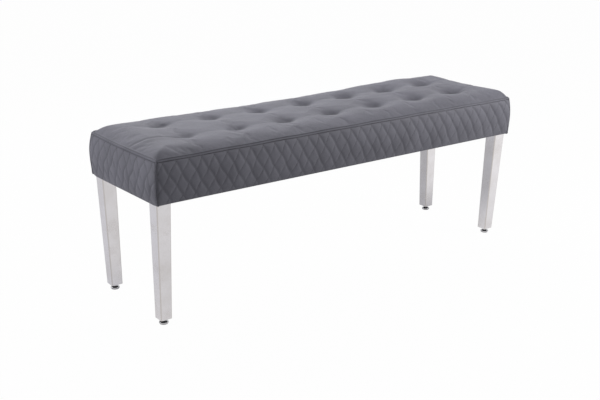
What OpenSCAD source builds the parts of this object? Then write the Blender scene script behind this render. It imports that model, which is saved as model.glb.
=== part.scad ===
/* [Bench] */
// Length of the seat over its corner seams
bench_length = 1300; // [1000:10:1800]
// Depth of the seat over its corner seams
bench_depth = 375; // [340:5:520]
// Height of the top seam above the floor
seam_height = 470; // [400:5:520]
// Height of the quilted side bands
band_height = 120; // [100:5:150]
// Rise of the crowned top above its seam
crown_height = 22; // [16:1:32]

/* [Cover] */
// Thickness of the quilted side bands with their wadding
band_thickness = 14; // [10:1:18]
// How far the side bands belly out between seam and foot
band_bulge = 7; // [2:0.5:12]
// How far the top seam is drawn in
seam_inset = 1; // [1:0.5:6]
// How far the end seams bow out in their middle
end_bow = 4; // [0:1:10]
// How far the long seams bow out in their middle
side_bow = 1; // [0:1:6]
// Run over which a band swells up from a corner seam
corner_roll = 60; // [30:5:90]
// Thickness of the cover leather where it is turned under
hem_thickness = 1.5; // [1:0.1:2]
// Width of the turned-under hem
hem_width = 35; // [30:1:45]
// Thickness of the black cloth under the seat
dust_cloth_thickness = 0.8; // [0.5:0.1:1.2]
// Margin between the hem's outer edge and the black cloth
dust_cloth_margin = 9; // [6:1:12]

/* [Quilting] */
// Width that one quilted diamond aims at
quilt_width = 38; // [30:1:60]
// Height of one quilted diamond
quilt_height = 61; // [50:1:72]
// Plain strip between the top seam and the first row of crossings
quilt_top_gap = 9.5; // [6:0.5:14]
// Least plain strip under the last row of crossings
quilt_foot_gap = 10; // [6:1:16]
// Rise of a diamond's middle above its stitched lines
quilt_puff = 3; // [1:0.5:5]

/* [Tufting] */
// Number of tufts along the length
tuft_columns = 7; // [3:1:11]
// Number of tufts across the depth
tuft_rows = 2; // [2:1:3]
// Distance from an end seam to the first tuft
tuft_end_gap = 152; // [100:4:180]
// Distance from a long seam to the first tuft
tuft_side_gap = 116.5; // [90:0.5:125]
// Depth of a tuft below the crown
tuft_depth = 16.5; // [8:0.5:18]
// Distance over which the hollow round a tuft fades away
tuft_reach = 20; // [14:1:26]
// Radius of the spot at a tuft's bottom that its cord ties down
tuft_tie = 10; // [6:1:12]
// Least height of a tuft's bottom above the seam
tuft_least_rise = 5; // [3:0.5:8]
// Depth of the soft valleys that join the tufts
valley_depth = 1.5; // [0.5:0.5:4]
// Half width of those valleys
valley_width = 16; // [12:1:32]
// Diameter of the tuft cords
cord_d = 3; // [2:0.5:4]
// Diameter of the washers that the cords are tied to
tuft_washer_d = 22; // [18:1:30]
// Thickness of those washers
tuft_washer_thickness = 2.5; // [1.5:0.5:4]

/* [Seat filling and frame] */
// Thickness of the wadding sheet
wadding_thickness = 8; // [4:1:14]
// Thickness of the plywood deck
deck_thickness = 12; // [9:1:18]
// Height of the frame rails
rail_height = 45; // [40:1:52]
// Thickness of the frame rails
rail_thickness = 25; // [18:1:30]
// Height of the cross braces
brace_height = 35; // [25:1:40]
// Thickness of the cross braces
brace_thickness = 25; // [18:1:35]
// Side of the corner blocks
block_side = 75; // [72:1:85]
// Height of the corner blocks
block_height = 38; // [30:1:40]

/* [Legs] */
// Side of a leg tube at its top
leg_top_side = 42; // [34:1:46]
// Side of a leg tube at its foot
leg_foot_side = 34; // [28:1:38]
// Wall of the leg tubes
leg_wall = 1.5; // [1:0.1:2]
// Radius of the leg tubes' edges
leg_edge_radius = 3; // [2.5:0.5:5]
// Set-back of a leg from the end of the seat
leg_inset_x = 2.5; // [1:0.5:8]
// Set-back of a leg from the long side of the seat
leg_inset_y = 9.5; // [2:0.5:14]
// Further set-back at the foot, along the length
leg_rake_x = 9; // [0:1:20]
// Further set-back at the foot, across the depth
leg_rake_y = 16; // [0:1:24]
// Height of the leg's lower end above the floor
leg_end_height = 16; // [15:0.5:22]
// Side of the steel mounting plates
plate_side = 100; // [98:1:106]
// Thickness of the mounting plates
plate_thickness = 4; // [3:0.5:5]

/* [Levelling feet] */
// Diameter of a foot's round base
foot_d = 26; // [22:1:30]
// Height of the base's rim above its pad
foot_rim_height = 4.5; // [3.5:0.5:5]
// Height of the base at its middle above its pad
foot_base_height = 7.5; // [7:0.5:8]
// Thickness of the glide pad
pad_thickness = 1.5; // [1:0.5:2]
// Diameter of the glide pad
pad_d = 23; // [20:1:24]
// Diameter of the levelling studs
stud_d = 8; // [6:1:10]
// Length of a levelling stud above its base
stud_length = 46; // [40:1:60]
// Height of the nylon plugs in the leg ends
plug_height = 22; // [18:1:28]
// Outer diameter of the threaded sleeves
sleeve_d = 12; // [11:1:14]

/* [Fasteners] */
// Diameter of the leg bolts
bolt_d = 8; // [6:1:8]
// Length of the leg bolts under the head
bolt_length = 44; // [40:1:44]
// Width across the flats of the bolt heads
bolt_head_flats = 13; // [11:1:13]
// Height of the bolt heads
bolt_head_height = 5.3; // [4:0.1:6]
// Thickness of the washers
washer_thickness = 1.6; // [1:0.1:2]
// Diameter of the washers
washer_d = 17; // [15:1:18]
// Least distance from a bolt's axis to the leg tube or the plate's edge
bolt_edge = 14; // [12:1:16]
// Diameter of the deck screws
screw_d = 4; // [3:0.5:5]
// Length of the deck screws
screw_length = 35; // [30:1:45]
// Length of the screws that join the rails
rail_screw_length = 70; // [50:5:90]
// Number of deck screws along each long rail
long_screws = 8; // [4:1:12]
// Width of a staple
staple_width = 11; // [8:1:13]
// Depth of a staple's legs
staple_depth = 8; // [6:1:10]
// Thickness of the staple wire
staple_wire = 0.7; // [0.5:0.1:1]
// Distance that the staples aim at
staple_pitch = 62; // [40:2:90]

/* [Hidden] */

// Corner signs: along the length, then across the depth
front_left = [-1, -1];
front_right = [1, -1];
back_left = [-1, 1];
back_right = [1, 1];
corners = [front_left, front_right, back_left, back_right];

// Gap round soft pieces, running gap of round fits, overrun of cuts
fit_gap = 0.3;
running_gap = 0.05;
cut_over = 1;

leather_grey = [0.49, 0.485, 0.52];
wood_tan = [0.8, 0.68, 0.5];
zinc_grey = [0.72, 0.73, 0.75];
chrome_grey = [0.85, 0.86, 0.88];
cloth_black = [0.09, 0.09, 0.1];

half_length = bench_length / 2;
half_depth = bench_depth / 2;
band_foot = seam_height - band_height;

// Inner faces of the side bands, which the filling and the frame fit into
inner_x = half_length - band_thickness - fit_gap;
inner_y = half_depth - band_thickness - fit_gap;

rail_foot = band_foot + hem_thickness;
rail_top = rail_foot + rail_height;
deck_top = rail_top + deck_thickness;
foam_top = seam_height - wadding_thickness;
plate_top = band_foot + plate_thickness;
block_top = plate_top + block_height;

// The same surface rises from every edge: steep at the seam, level inside
function roll(distance, run, power) = 1 - pow(1 - min(max(distance, 0) / run, 1), power);

// Side bands: a belly that peaks a little above half height, a drawn-in top seam
belly_power = 1.3;
corner_bulge_share = 0.9;
corner_roll_power = 2;
function belly(up_share) = sin(180 * pow(up_share, belly_power));
function seam_pull(up_share) = seam_inset * up_share * up_share;
function corner_offset(up_share) =
    band_bulge * corner_bulge_share * belly(up_share) - seam_pull(up_share);
function band_offset(half_run, along_share, up_share, bow) =
    let (rise = roll(half_run * (1 - abs(along_share)), corner_roll, corner_roll_power))
    let (swell = corner_bulge_share + (1 - corner_bulge_share) * rise)
    bow * (1 - along_share * along_share) * up_share
    + band_bulge * belly(up_share) * swell - seam_pull(up_share);

// A band's diamonds: two columns of the net for each, and rows of crossings
quilt_step = quilt_height / 2;
quilt_rows = max(1, floor((band_height - quilt_top_gap - quilt_foot_gap) / quilt_step));
quilt_lines = quilt_rows + 2;
quilt_shoulder_share = 0.7;
function quilt_columns(run) = 2 * max(2, round(run / quilt_width));
function quilt_line_share(line) =
    line == 0 ? 0
    : line == quilt_lines ? 1
    : 1 - (quilt_top_gap + (quilt_lines - 1 - line) * quilt_step) / band_height;
function is_crossing(column, line) = (column + line) % 2 == 1;

function band_point(half_run, half_out, along_share, up_share, bow, puff) = [
    along_share * (half_run - fit_gap / 2 + corner_offset(up_share)),
    -half_out - band_offset(half_run, along_share, up_share, bow) - puff,
    band_foot + up_share * band_height
];

// One quilted band, drawn as the front one: a net of stitched lines whose
// diamonds are raised, closed by a flat back with mitred ends
module quilted_band(half_run, half_out, bow) {
    columns = quilt_columns(2 * half_run);
    stride = columns + 1;
    function along(column) = 2 * column / columns - 1;
    function edge(column, line) =
        column == 0 || column == columns || line == 0 || line == quilt_lines;
    function puff_at(column, line) =
        edge(column, line) || is_crossing(column, line) ? 0 : quilt_puff;
    function net(column, line) = line * stride + column;
    net_points = [
        for (line = [0:quilt_lines]) for (column = [0:columns])
            band_point(half_run, half_out, along(column), quilt_line_share(line), bow,
                       puff_at(column, line))
    ];
    // Each half of a cell is a triangle with one stitched side; those between
    // two rows of crossings get a raised point of their own
    function halves(column, line) =
        is_crossing(column, line)
            ? [[[column, line], [column, line + 1], [column + 1, line + 1]],
               [[column, line], [column + 1, line + 1], [column + 1, line]]]
            : [[[column, line], [column, line + 1], [column + 1, line]],
               [[column, line + 1], [column + 1, line + 1], [column + 1, line]]];
    raised = [
        for (line = [1:quilt_rows]) for (column = [0:columns - 1])
            for (half = halves(column, line)) half
    ];
    function mean(half, axis) = (half[0][axis] + half[1][axis] + half[2][axis]) / 3;
    function mean_up(half) =
        (quilt_line_share(half[0][1]) + quilt_line_share(half[1][1])
         + quilt_line_share(half[2][1])) / 3;
    raised_points = [
        for (half = raised)
            band_point(half_run, half_out, along(mean(half, 0)), mean_up(half), bow,
                       quilt_puff * quilt_shoulder_share)
    ];
    first_raised = len(net_points);
    back_x = half_run - fit_gap / 2 - band_thickness;
    back_y = -half_out + band_thickness;
    back_points = [
        [-back_x, back_y, band_foot], [back_x, back_y, band_foot],
        [back_x, back_y, seam_height], [-back_x, back_y, seam_height]
    ];
    foot_left = first_raised + len(raised_points);
    foot_right = foot_left + 1;
    top_right = foot_left + 2;
    top_left = foot_left + 3;
    raised_faces = [
        for (i = [0:len(raised) - 1]) for (k = [0:2])
            let (a = raised[i][k], b = raised[i][(k + 1) % 3])
            [net(a[0], a[1]), net(b[0], b[1]), first_raised + i]
    ];
    plain_faces = [
        for (line = [0, quilt_lines - 1]) for (column = [0:columns - 1])
            for (half = halves(column, line)) [for (p = half) net(p[0], p[1])]
    ];
    foot_faces = [
        for (column = [0:columns - 1])
            [foot_left, net(column, 0), net(column + 1, 0)],
        [foot_left, net(columns, 0), foot_right]
    ];
    top_faces = [
        for (column = [0:columns - 1])
            [top_left, net(column + 1, quilt_lines), net(column, quilt_lines)],
        [top_left, top_right, net(columns, quilt_lines)]
    ];
    end_faces = [
        for (line = [0:quilt_lines - 1])
            [foot_left, net(0, line + 1), net(0, line)],
        [foot_left, top_left, net(0, quilt_lines)],
        for (line = [0:quilt_lines - 1])
            [foot_right, net(columns, line), net(columns, line + 1)],
        [foot_right, net(columns, quilt_lines), top_right]
    ];
    back_faces = [
        [foot_left, foot_right, top_right],
        [foot_left, top_right, top_left]
    ];
    polyhedron(
        points = concat(net_points, raised_points, back_points),
        faces = concat(raised_faces, plain_faces, foot_faces, top_faces, end_faces,
                       back_faces),
        convexity = 4);
}

module side_band_front() { color(leather_grey) quilted_band(half_length, half_depth, side_bow); }
module side_band_back() {
    color(leather_grey) rotate([0, 0, 180]) quilted_band(half_length, half_depth, side_bow);
}
module side_band_left() {
    color(leather_grey) rotate([0, 0, -90]) quilted_band(half_depth, half_length, end_bow);
}
module side_band_right() {
    color(leather_grey) rotate([0, 0, 90]) quilted_band(half_depth, half_length, end_bow);
}

// Places of the tufts
tuft_pitch_x = (bench_length - 2 * tuft_end_gap) / (tuft_columns - 1);
tuft_pitch_y = (bench_depth - 2 * tuft_side_gap) / (tuft_rows - 1);
tuft_xs = [for (i = [0:tuft_columns - 1]) -half_length + tuft_end_gap + i * tuft_pitch_x];
tuft_ys = [for (j = [0:tuft_rows - 1]) -half_depth + tuft_side_gap + j * tuft_pitch_y];
tufts = [for (x = tuft_xs) for (y = tuft_ys) [x, y]];

// Top panel: a crowned form, pulled down at the tufts and along the valleys
// between them, that ends in a thin edge on the seam
panel_edge = 1.5;
end_roll = 50;
side_roll = 80;
crown_power = 2.3;
end_net_shares = [0, 0.07, 0.18, 0.36, 0.58, 0.8, 0.92, 1];
side_net_shares = [0, 0.08, 0.22, 0.46, 0.75, 0.9, 1];
// The net is closer where it comes near a tuft
pitch_net_shares = [0.07, 0.2, 0.5, 0.8, 0.93, 1];
function net_places(gap, gap_shares, pitch, count, full) = concat(
    [for (share = gap_shares) share * gap],
    [for (k = [0:count - 2]) for (share = pitch_net_shares) gap + (k + share) * pitch],
    [for (k = [len(gap_shares) - 2:-1:0]) full - gap_shares[k] * gap]
);
panel_along_shares = [
    for (x = net_places(tuft_end_gap, end_net_shares, tuft_pitch_x, tuft_columns,
                        bench_length)) x / half_length - 1
];
panel_across_shares = [
    for (y = net_places(tuft_side_gap, side_net_shares, tuft_pitch_y, tuft_rows,
                        bench_depth)) y / half_depth - 1
];
function nearest(place, places) = min([for (p = places) abs(place - p)]);
function bell(distance, width) = exp(-pow(distance / width, 2));
// A tuft's hollow is steepest at its bottom and fades outwards
tuft_draw = min(tuft_depth, crown_height - tuft_least_rise);
function drawn_down(distance) =
    exp((tuft_tie - norm([distance, tuft_tie])) / tuft_reach);
function panel_rise(along_share, across_share) =
    let (rise = roll(half_length * (1 - abs(along_share)), end_roll, crown_power)
                * roll(half_depth * (1 - abs(across_share)), side_roll, crown_power))
    let (dx = nearest(along_share * half_length, tuft_xs))
    let (dy = nearest(across_share * half_depth, tuft_ys))
    let (valley = max(bell(dx, valley_width), bell(dy, valley_width)))
    panel_edge + (crown_height - panel_edge) * rise
    - valley_depth * valley * rise
    - (tuft_draw - valley_depth) * drawn_down(norm([dx, dy])) * rise;
function panel_x(along_share, across_share) =
    along_share * (half_length + band_offset(half_depth, across_share, 1, end_bow));
function panel_y(along_share, across_share) =
    across_share * (half_depth + band_offset(half_length, along_share, 1, side_bow));

module seat_top_panel() {
    columns = len(panel_along_shares) - 1;
    lines = len(panel_across_shares) - 1;
    stride = columns + 1;
    function net(column, line) = line * stride + column;
    net_points = [
        for (t = panel_across_shares) for (s = panel_along_shares)
            [panel_x(s, t), panel_y(s, t), seam_height + panel_rise(s, t)]
    ];
    // The rim runs once round the net, anticlockwise seen from above
    rim = concat(
        [for (column = [0:columns - 1]) net(column, 0)],
        [for (line = [0:lines - 1]) net(columns, line)],
        [for (column = [columns:-1:1]) net(column, lines)],
        [for (line = [lines:-1:1]) net(0, line)]
    );
    count = len(rim);
    first_foot = len(net_points);
    foot_points = [
        for (i = rim) [net_points[i][0], net_points[i][1], seam_height],
        [0, 0, seam_height]
    ];
    middle = first_foot + count;
    top_faces = [
        for (line = [0:lines - 1]) for (column = [0:columns - 1])
            let (a = net(column, line), b = net(column + 1, line))
            let (c = net(column + 1, line + 1), d = net(column, line + 1))
            let (leaning = (column < columns / 2) == (line < lines / 2))
            each leaning ? [[a, d, c], [a, c, b]] : [[a, d, b], [d, c, b]]
    ];
    edge_faces = [
        for (i = [0:count - 1])
            let (k = (i + 1) % count)
            each [[rim[i], rim[k], first_foot + k], [rim[i], first_foot + k, first_foot + i]]
    ];
    foot_faces = [
        for (i = [0:count - 1]) [first_foot + i, first_foot + (i + 1) % count, middle]
    ];
    color(leather_grey)
        polyhedron(points = concat(net_points, foot_points),
                   faces = concat(top_faces, edge_faces, foot_faces), convexity = 4);
}

// A flat layer that fills the band's inside, between two heights
module layer(foot, top, inset = 0) {
    translate([-inner_x + inset, -inner_y + inset, foot])
        cube([2 * (inner_x - inset), 2 * (inner_y - inset), top - foot]);
}

// Squares at the four corners, where the leg plates sit
module plate_squares(side, foot, top) {
    for (c = corners)
        mirrored(c) translate([inner_x - side, inner_y - side, foot])
            cube([side + cut_over, side + cut_over, top - foot]);
}

// Draws the back right corner's piece at any corner
module mirrored(corner) {
    mirror([corner[0] < 0 ? 1 : 0, 0, 0]) mirror([0, corner[1] < 0 ? 1 : 0, 0]) children();
}

cord_hole_d = cord_d + 2 * fit_gap;
deck_hole_d = cord_d * 2;
knot_d = cord_d * 2.4;

module at_tufts() {
    for (p = tufts) translate([p[0], p[1], 0]) children();
}

module wadding_sheet() {
    color("white") difference() {
        layer(foam_top, seam_height);
        at_tufts() translate([0, 0, foam_top - cut_over])
            cylinder(d = cord_hole_d, h = wadding_thickness + 2 * cut_over, $fn = 24);
    }
}

module foam_core() {
    color([0.93, 0.89, 0.72]) difference() {
        layer(deck_top, foam_top);
        at_tufts() translate([0, 0, deck_top - cut_over])
            cylinder(d = cord_hole_d, h = foam_top - deck_top + 2 * cut_over, $fn = 24);
    }
}

// Each cord runs from the underside of the top panel to a knot under its washer
module tuft_cords() {
    washer_foot = rail_top - tuft_washer_thickness;
    color("whitesmoke") at_tufts() {
        translate([0, 0, washer_foot - knot_d / 2])
            cylinder(d = cord_d, h = seam_height - washer_foot + knot_d / 2, $fn = 24);
        translate([0, 0, washer_foot - knot_d / 2]) sphere(d = knot_d, $fn = 24);
    }
}

module tuft_washers() {
    color(zinc_grey) at_tufts() translate([0, 0, rail_top - tuft_washer_thickness])
        difference() {
            cylinder(d = tuft_washer_d, h = tuft_washer_thickness, $fn = 48);
            translate([0, 0, -cut_over])
                cylinder(d = cord_hole_d, h = tuft_washer_thickness + 2 * cut_over, $fn = 24);
        }
}

// Deck screws: countersunk, along the long rails and at the ends
screw_head_d = 2 * screw_d;
screw_head_height = screw_d * 0.7;
rail_line_x = inner_x - rail_thickness / 2;
rail_line_y = inner_y - rail_thickness / 2;
long_screw_reach = inner_x - 2 * rail_thickness;
long_screw_pitch = 2 * long_screw_reach / (long_screws - 1);
end_screw_y = inner_y - 3 * rail_thickness;
screw_places = concat(
    [for (i = [0:long_screws - 1]) for (side = [-1, 1])
        [-long_screw_reach + i * long_screw_pitch, side * rail_line_y]],
    [for (end = [-1, 1]) for (side = [-1, 1]) [end * rail_line_x, side * end_screw_y]]
);

module screw(length, gap = 0) {
    translate([0, 0, -length]) cylinder(d = screw_d + 2 * gap, h = length, $fn = 24);
    translate([0, 0, -screw_head_height])
        cylinder(d1 = screw_d + 2 * gap, d2 = screw_head_d + 2 * gap,
                 h = screw_head_height, $fn = 32);
}

module deck_screws() {
    color(zinc_grey)
        for (p = screw_places) translate([p[0], p[1], deck_top]) screw(screw_length);
}

module seat_deck() {
    color(wood_tan) difference() {
        layer(rail_top, deck_top);
        at_tufts() translate([0, 0, rail_top - cut_over])
            cylinder(d = deck_hole_d, h = deck_thickness + 2 * cut_over, $fn = 32);
        for (p = screw_places)
            translate([p[0], p[1], deck_top]) screw(screw_length, running_gap);
    }
}

// Frame: two long rails, two end rails between them, all let in for the plates
module rail_let_in() {
    plate_squares(plate_side + fit_gap, rail_foot - cut_over, plate_top);
}

module long_rail() {
    color(wood_tan) difference() {
        translate([-inner_x, inner_y - rail_thickness, rail_foot])
            cube([2 * inner_x, rail_thickness, rail_height]);
        rail_let_in();
    }
}

module end_rail() {
    color(wood_tan) difference() {
        translate([inner_x - rail_thickness, -inner_y + rail_thickness, rail_foot])
            cube([rail_thickness, 2 * (inner_y - rail_thickness), rail_height]);
        rail_let_in();
    }
}

module frame_rail_back() { long_rail(); }
module frame_rail_front() { mirror([0, 1, 0]) long_rail(); }
module frame_rail_right() { end_rail(); }
module frame_rail_left() { mirror([1, 0, 0]) end_rail(); }

// Screws through the long rails into the ends of the end rails
rail_screw_height_shares = [0.35, 0.75];
module rail_screws() {
    color(zinc_grey) for (c = corners) mirrored(c) for (share = rail_screw_height_shares)
        translate([rail_line_x, inner_y, rail_foot + share * rail_height])
            rotate([-90, 0, 0]) screw(rail_screw_length);
}

// Braces under the deck, halfway between two columns of tufts
brace_pitch_share = floor(tuft_columns / 4) + (tuft_columns % 2 == 0 ? 0 : 0.5);
brace_x = brace_pitch_share * tuft_pitch_x;
module brace(side) {
    color(wood_tan)
        translate([side * brace_x - brace_thickness / 2, -inner_y + rail_thickness,
                   rail_top - brace_height])
            cube([brace_thickness, 2 * (inner_y - rail_thickness), brace_height]);
}

module cross_brace_left() { brace(-1); }
module cross_brace_right() { brace(1); }

// Leg tube: its side and its outer corner at any height
leg_run = band_foot - leg_end_height;
function leg_down_share(height) = (band_foot - height) / leg_run;
function leg_side_at(height) =
    leg_top_side + (leg_foot_side - leg_top_side) * leg_down_share(height);
function leg_outer_x(height) = half_length - leg_inset_x - leg_rake_x * leg_down_share(height);
function leg_outer_y(height) = half_depth - leg_inset_y - leg_rake_y * leg_down_share(height);
foot_x = leg_outer_x(leg_end_height) - leg_foot_side / 2;
foot_y = leg_outer_y(leg_end_height) - leg_foot_side / 2;

// Bolts: the plate's inner corner and the two places next to it that clear the tube
bolt_near_x = leg_outer_x(band_foot) - leg_top_side - bolt_edge;
bolt_near_y = leg_outer_y(band_foot) - leg_top_side - bolt_edge;
bolt_far_x = inner_x - plate_side + bolt_edge;
bolt_far_y = inner_y - plate_side + bolt_edge;
bolt_places = [[bolt_far_x, bolt_far_y], [bolt_near_x, bolt_far_y], [bolt_far_x, bolt_near_y]];

module at_bolts(height) {
    for (p = bolt_places) translate([p[0], p[1], height]) children();
}

// Tee nuts: a flange on the block and a barrel in its bore
tee_wall = bolt_d / 8;
tee_barrel_d = bolt_d + 2 * (tee_wall + running_gap);
tee_flange_d = bolt_d * 2.2;
tee_flange_thickness = bolt_d * 0.18;
tee_barrel_length = bolt_d * 1.1;
bolt_hole_d = bolt_d + 4 * fit_gap;

module corner_block(corner) {
    rail_inner_x = inner_x - rail_thickness;
    rail_inner_y = inner_y - rail_thickness;
    color(wood_tan) mirrored(corner) difference() {
        translate([rail_inner_x - block_side, rail_inner_y - block_side, plate_top])
            cube([block_side, block_side, block_height]);
        at_bolts(plate_top - cut_over)
            cylinder(d = bolt_hole_d, h = block_height + 2 * cut_over, $fn = 32);
        at_bolts(block_top - tee_barrel_length)
            cylinder(d = tee_barrel_d + 2 * running_gap, h = tee_barrel_length + cut_over,
                     $fn = 32);
    }
}

module corner_block_front_left() { corner_block(front_left); }
module corner_block_front_right() { corner_block(front_right); }
module corner_block_back_left() { corner_block(back_left); }
module corner_block_back_right() { corner_block(back_right); }

module tee_nuts() {
    color(zinc_grey) for (c = corners) mirrored(c) difference() {
        union() {
            at_bolts(block_top) cylinder(d = tee_flange_d, h = tee_flange_thickness, $fn = 48);
            at_bolts(block_top - tee_barrel_length)
                cylinder(d = tee_barrel_d, h = tee_barrel_length + tee_flange_thickness,
                         $fn = 32);
        }
        at_bolts(block_top - tee_barrel_length - cut_over)
            cylinder(d = bolt_d + 2 * running_gap,
                     h = tee_barrel_length + tee_flange_thickness + 2 * cut_over, $fn = 32);
    }
}

module leg_bolts() {
    shank_foot = band_foot - washer_thickness;
    color(zinc_grey) for (c = corners) mirrored(c) {
        at_bolts(shank_foot) cylinder(d = bolt_d, h = bolt_length, $fn = 32);
        at_bolts(shank_foot - bolt_head_height)
            cylinder(d = bolt_head_flats / cos(30), h = bolt_head_height, $fn = 6);
    }
}

module bolt_washers() {
    color(zinc_grey) for (c = corners) mirrored(c)
        at_bolts(band_foot - washer_thickness) difference() {
            cylinder(d = washer_d, h = washer_thickness, $fn = 48);
            translate([0, 0, -cut_over])
                cylinder(d = bolt_d + 2 * fit_gap, h = washer_thickness + 2 * cut_over,
                         $fn = 32);
        }
}

// The cover's edge turned under the rails, open at the plates
module cover_hem() {
    color(leather_grey) difference() {
        layer(band_foot, rail_foot);
        layer(band_foot - cut_over, rail_foot + cut_over, hem_width);
        plate_squares(plate_side + fit_gap, band_foot - cut_over, rail_foot + cut_over);
    }
}

// Black cloth over the hem's inner edge, notched round the plates
dust_cloth_foot = band_foot - dust_cloth_thickness;
module dust_cloth() {
    color(cloth_black) difference() {
        layer(dust_cloth_foot, band_foot, dust_cloth_margin);
        plate_squares(plate_side + 2 * dust_cloth_margin, dust_cloth_foot - cut_over,
                      band_foot + cut_over);
    }
}

// Staples through cloth, hem and rail, between the corner notches
staple_line_x = inner_x - 2 * dust_cloth_margin;
staple_line_y = inner_y - 2 * dust_cloth_margin;
staple_clear = plate_side + 2 * dust_cloth_margin + staple_width;
function staple_run(inner) =
    let (reach = inner - staple_clear)
    let (steps = max(1, round(2 * reach / staple_pitch)))
    [for (i = [0:steps]) -reach + 2 * reach * i / steps];

module staple() {
    translate([-staple_width / 2, -staple_wire / 2, -staple_wire])
        cube([staple_width, staple_wire, staple_wire]);
    for (side = [-1, 1])
        translate([side * (staple_width - staple_wire) / 2 - staple_wire / 2,
                   -staple_wire / 2, -staple_wire])
            cube([staple_wire, staple_wire, staple_depth]);
}

module staples() {
    color(zinc_grey) {
        for (x = staple_run(inner_x)) for (side = [-1, 1])
            translate([x, side * staple_line_y, dust_cloth_foot]) staple();
        for (y = staple_run(inner_y)) for (side = [-1, 1])
            translate([side * staple_line_x, y, dust_cloth_foot]) rotate([0, 0, 90]) staple();
    }
}

module leg_plate(corner) {
    color(zinc_grey) mirrored(corner) difference() {
        translate([inner_x - plate_side, inner_y - plate_side, band_foot])
            cube([plate_side, plate_side, plate_thickness]);
        at_bolts(band_foot - cut_over)
            cylinder(d = bolt_hole_d, h = plate_thickness + 2 * cut_over, $fn = 32);
    }
}

module leg_plate_front_left() { leg_plate(front_left); }
module leg_plate_front_right() { leg_plate(front_right); }
module leg_plate_back_left() { leg_plate(back_left); }
module leg_plate_back_right() { leg_plate(back_right); }

// One level outline of the leg: a square with rounded corners, drawn in by a wall
edge_steps = 5;
function leg_ring(height, wall) =
    let (half = leg_side_at(height) / 2 - wall)
    let (radius = leg_edge_radius - min(wall, leg_edge_radius / 2))
    let (x = leg_outer_x(height) - leg_side_at(height) / 2)
    let (y = leg_outer_y(height) - leg_side_at(height) / 2)
    [for (k = [0:3]) for (i = [0:edge_steps])
        let (angle = 90 * (k + i / edge_steps))
        let (sx = (k == 0 || k == 3) ? 1 : -1)
        let (sy = k < 2 ? 1 : -1)
        [x + sx * (half - radius) + radius * cos(angle),
         y + sy * (half - radius) + radius * sin(angle), height]];

// Joins outlines of equal count into a solid; a looped one returns to its start
module joined_rings(rings, looped) {
    count = len(rings[0]);
    total = len(rings);
    sides = [
        for (r = [0:(looped ? total - 1 : total - 2)]) for (i = [0:count - 1])
            let (k = (i + 1) % count)
            let (next = ((r + 1) % total) * count)
            each [[r * count + i, next + i, next + k], [r * count + i, next + k, r * count + k]]
    ];
    ends = looped ? [] : [
        [for (i = [0:count - 1]) i],
        [for (i = [count - 1:-1:0]) (total - 1) * count + i]
    ];
    polyhedron(points = [for (ring = rings) each ring], faces = concat(sides, ends),
               convexity = 4);
}

module leg(corner) {
    color([0.8, 0.8, 0.82]) mirrored(corner)
        joined_rings([leg_ring(leg_end_height, 0), leg_ring(band_foot, 0),
                      leg_ring(band_foot, leg_wall), leg_ring(leg_end_height, leg_wall)],
                     true);
}

module leg_front_left() { leg(front_left); }
module leg_front_right() { leg(front_right); }
module leg_back_left() { leg(back_left); }
module leg_back_right() { leg(back_right); }

// Nylon plug in the leg's end, with a metal sleeve that takes the stud
module leg_plug(corner) {
    color(cloth_black) mirrored(corner) difference() {
        joined_rings([leg_ring(leg_end_height, leg_wall + running_gap),
                      leg_ring(leg_end_height + plug_height, leg_wall + running_gap)],
                     false);
        translate([foot_x, foot_y, leg_end_height - cut_over])
            cylinder(d = sleeve_d + 2 * running_gap, h = plug_height + 2 * cut_over,
                     $fn = 48);
    }
}

module leg_plug_front_left() { leg_plug(front_left); }
module leg_plug_front_right() { leg_plug(front_right); }
module leg_plug_back_left() { leg_plug(back_left); }
module leg_plug_back_right() { leg_plug(back_right); }

module sleeve(corner) {
    color(zinc_grey) mirrored(corner) translate([foot_x, foot_y, leg_end_height])
        difference() {
            cylinder(d = sleeve_d, h = plug_height, $fn = 48);
            translate([0, 0, -cut_over])
                cylinder(d = stud_d + 2 * running_gap, h = plug_height + 2 * cut_over,
                         $fn = 48);
        }
}

module sleeve_front_left() { sleeve(front_left); }
module sleeve_front_right() { sleeve(front_right); }
module sleeve_back_left() { sleeve(back_left); }
module sleeve_back_right() { sleeve(back_right); }

// Foot: a domed steel base on a glide pad, and a stud that turns in its socket
foot_dome_steps = 8;
foot_neck_d = stud_d * 1.7;
foot_socket_floor = foot_base_height * 0.3;
foot_edge = foot_rim_height / 6;
collar_gap = fit_gap;
foot_lift_room = 3.2;
collar_height = leg_end_height - pad_thickness - foot_base_height - foot_lift_room;
collar_flats = stud_d * 1.6;

module foot_base(corner) {
    radius = foot_d / 2;
    neck = foot_neck_d / 2;
    dome = [
        for (i = [0:foot_dome_steps])
            let (angle = 90 * i / foot_dome_steps)
            [neck + (radius - foot_edge - neck) * cos(angle),
             foot_rim_height + (foot_base_height - foot_rim_height) * sin(angle)]
    ];
    color(chrome_grey) mirrored(corner) translate([foot_x, foot_y, pad_thickness])
        difference() {
            rotate_extrude($fn = 96)
                polygon(concat([[0, 0], [radius - foot_edge, 0], [radius, foot_edge],
                                [radius, foot_rim_height - foot_edge]],
                               dome, [[0, foot_base_height]]));
            translate([0, 0, foot_socket_floor])
                cylinder(d = stud_d + 2 * running_gap, h = foot_base_height, $fn = 48);
        }
}

module foot_base_front_left() { foot_base(front_left); }
module foot_base_front_right() { foot_base(front_right); }
module foot_base_back_left() { foot_base(back_left); }
module foot_base_back_right() { foot_base(back_right); }

module foot_pad(corner) {
    color(cloth_black) mirrored(corner) translate([foot_x, foot_y, 0])
        cylinder(d = pad_d, h = pad_thickness, $fn = 64);
}

module foot_pad_front_left() { foot_pad(front_left); }
module foot_pad_front_right() { foot_pad(front_right); }
module foot_pad_back_left() { foot_pad(back_left); }
module foot_pad_back_right() { foot_pad(back_right); }

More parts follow.
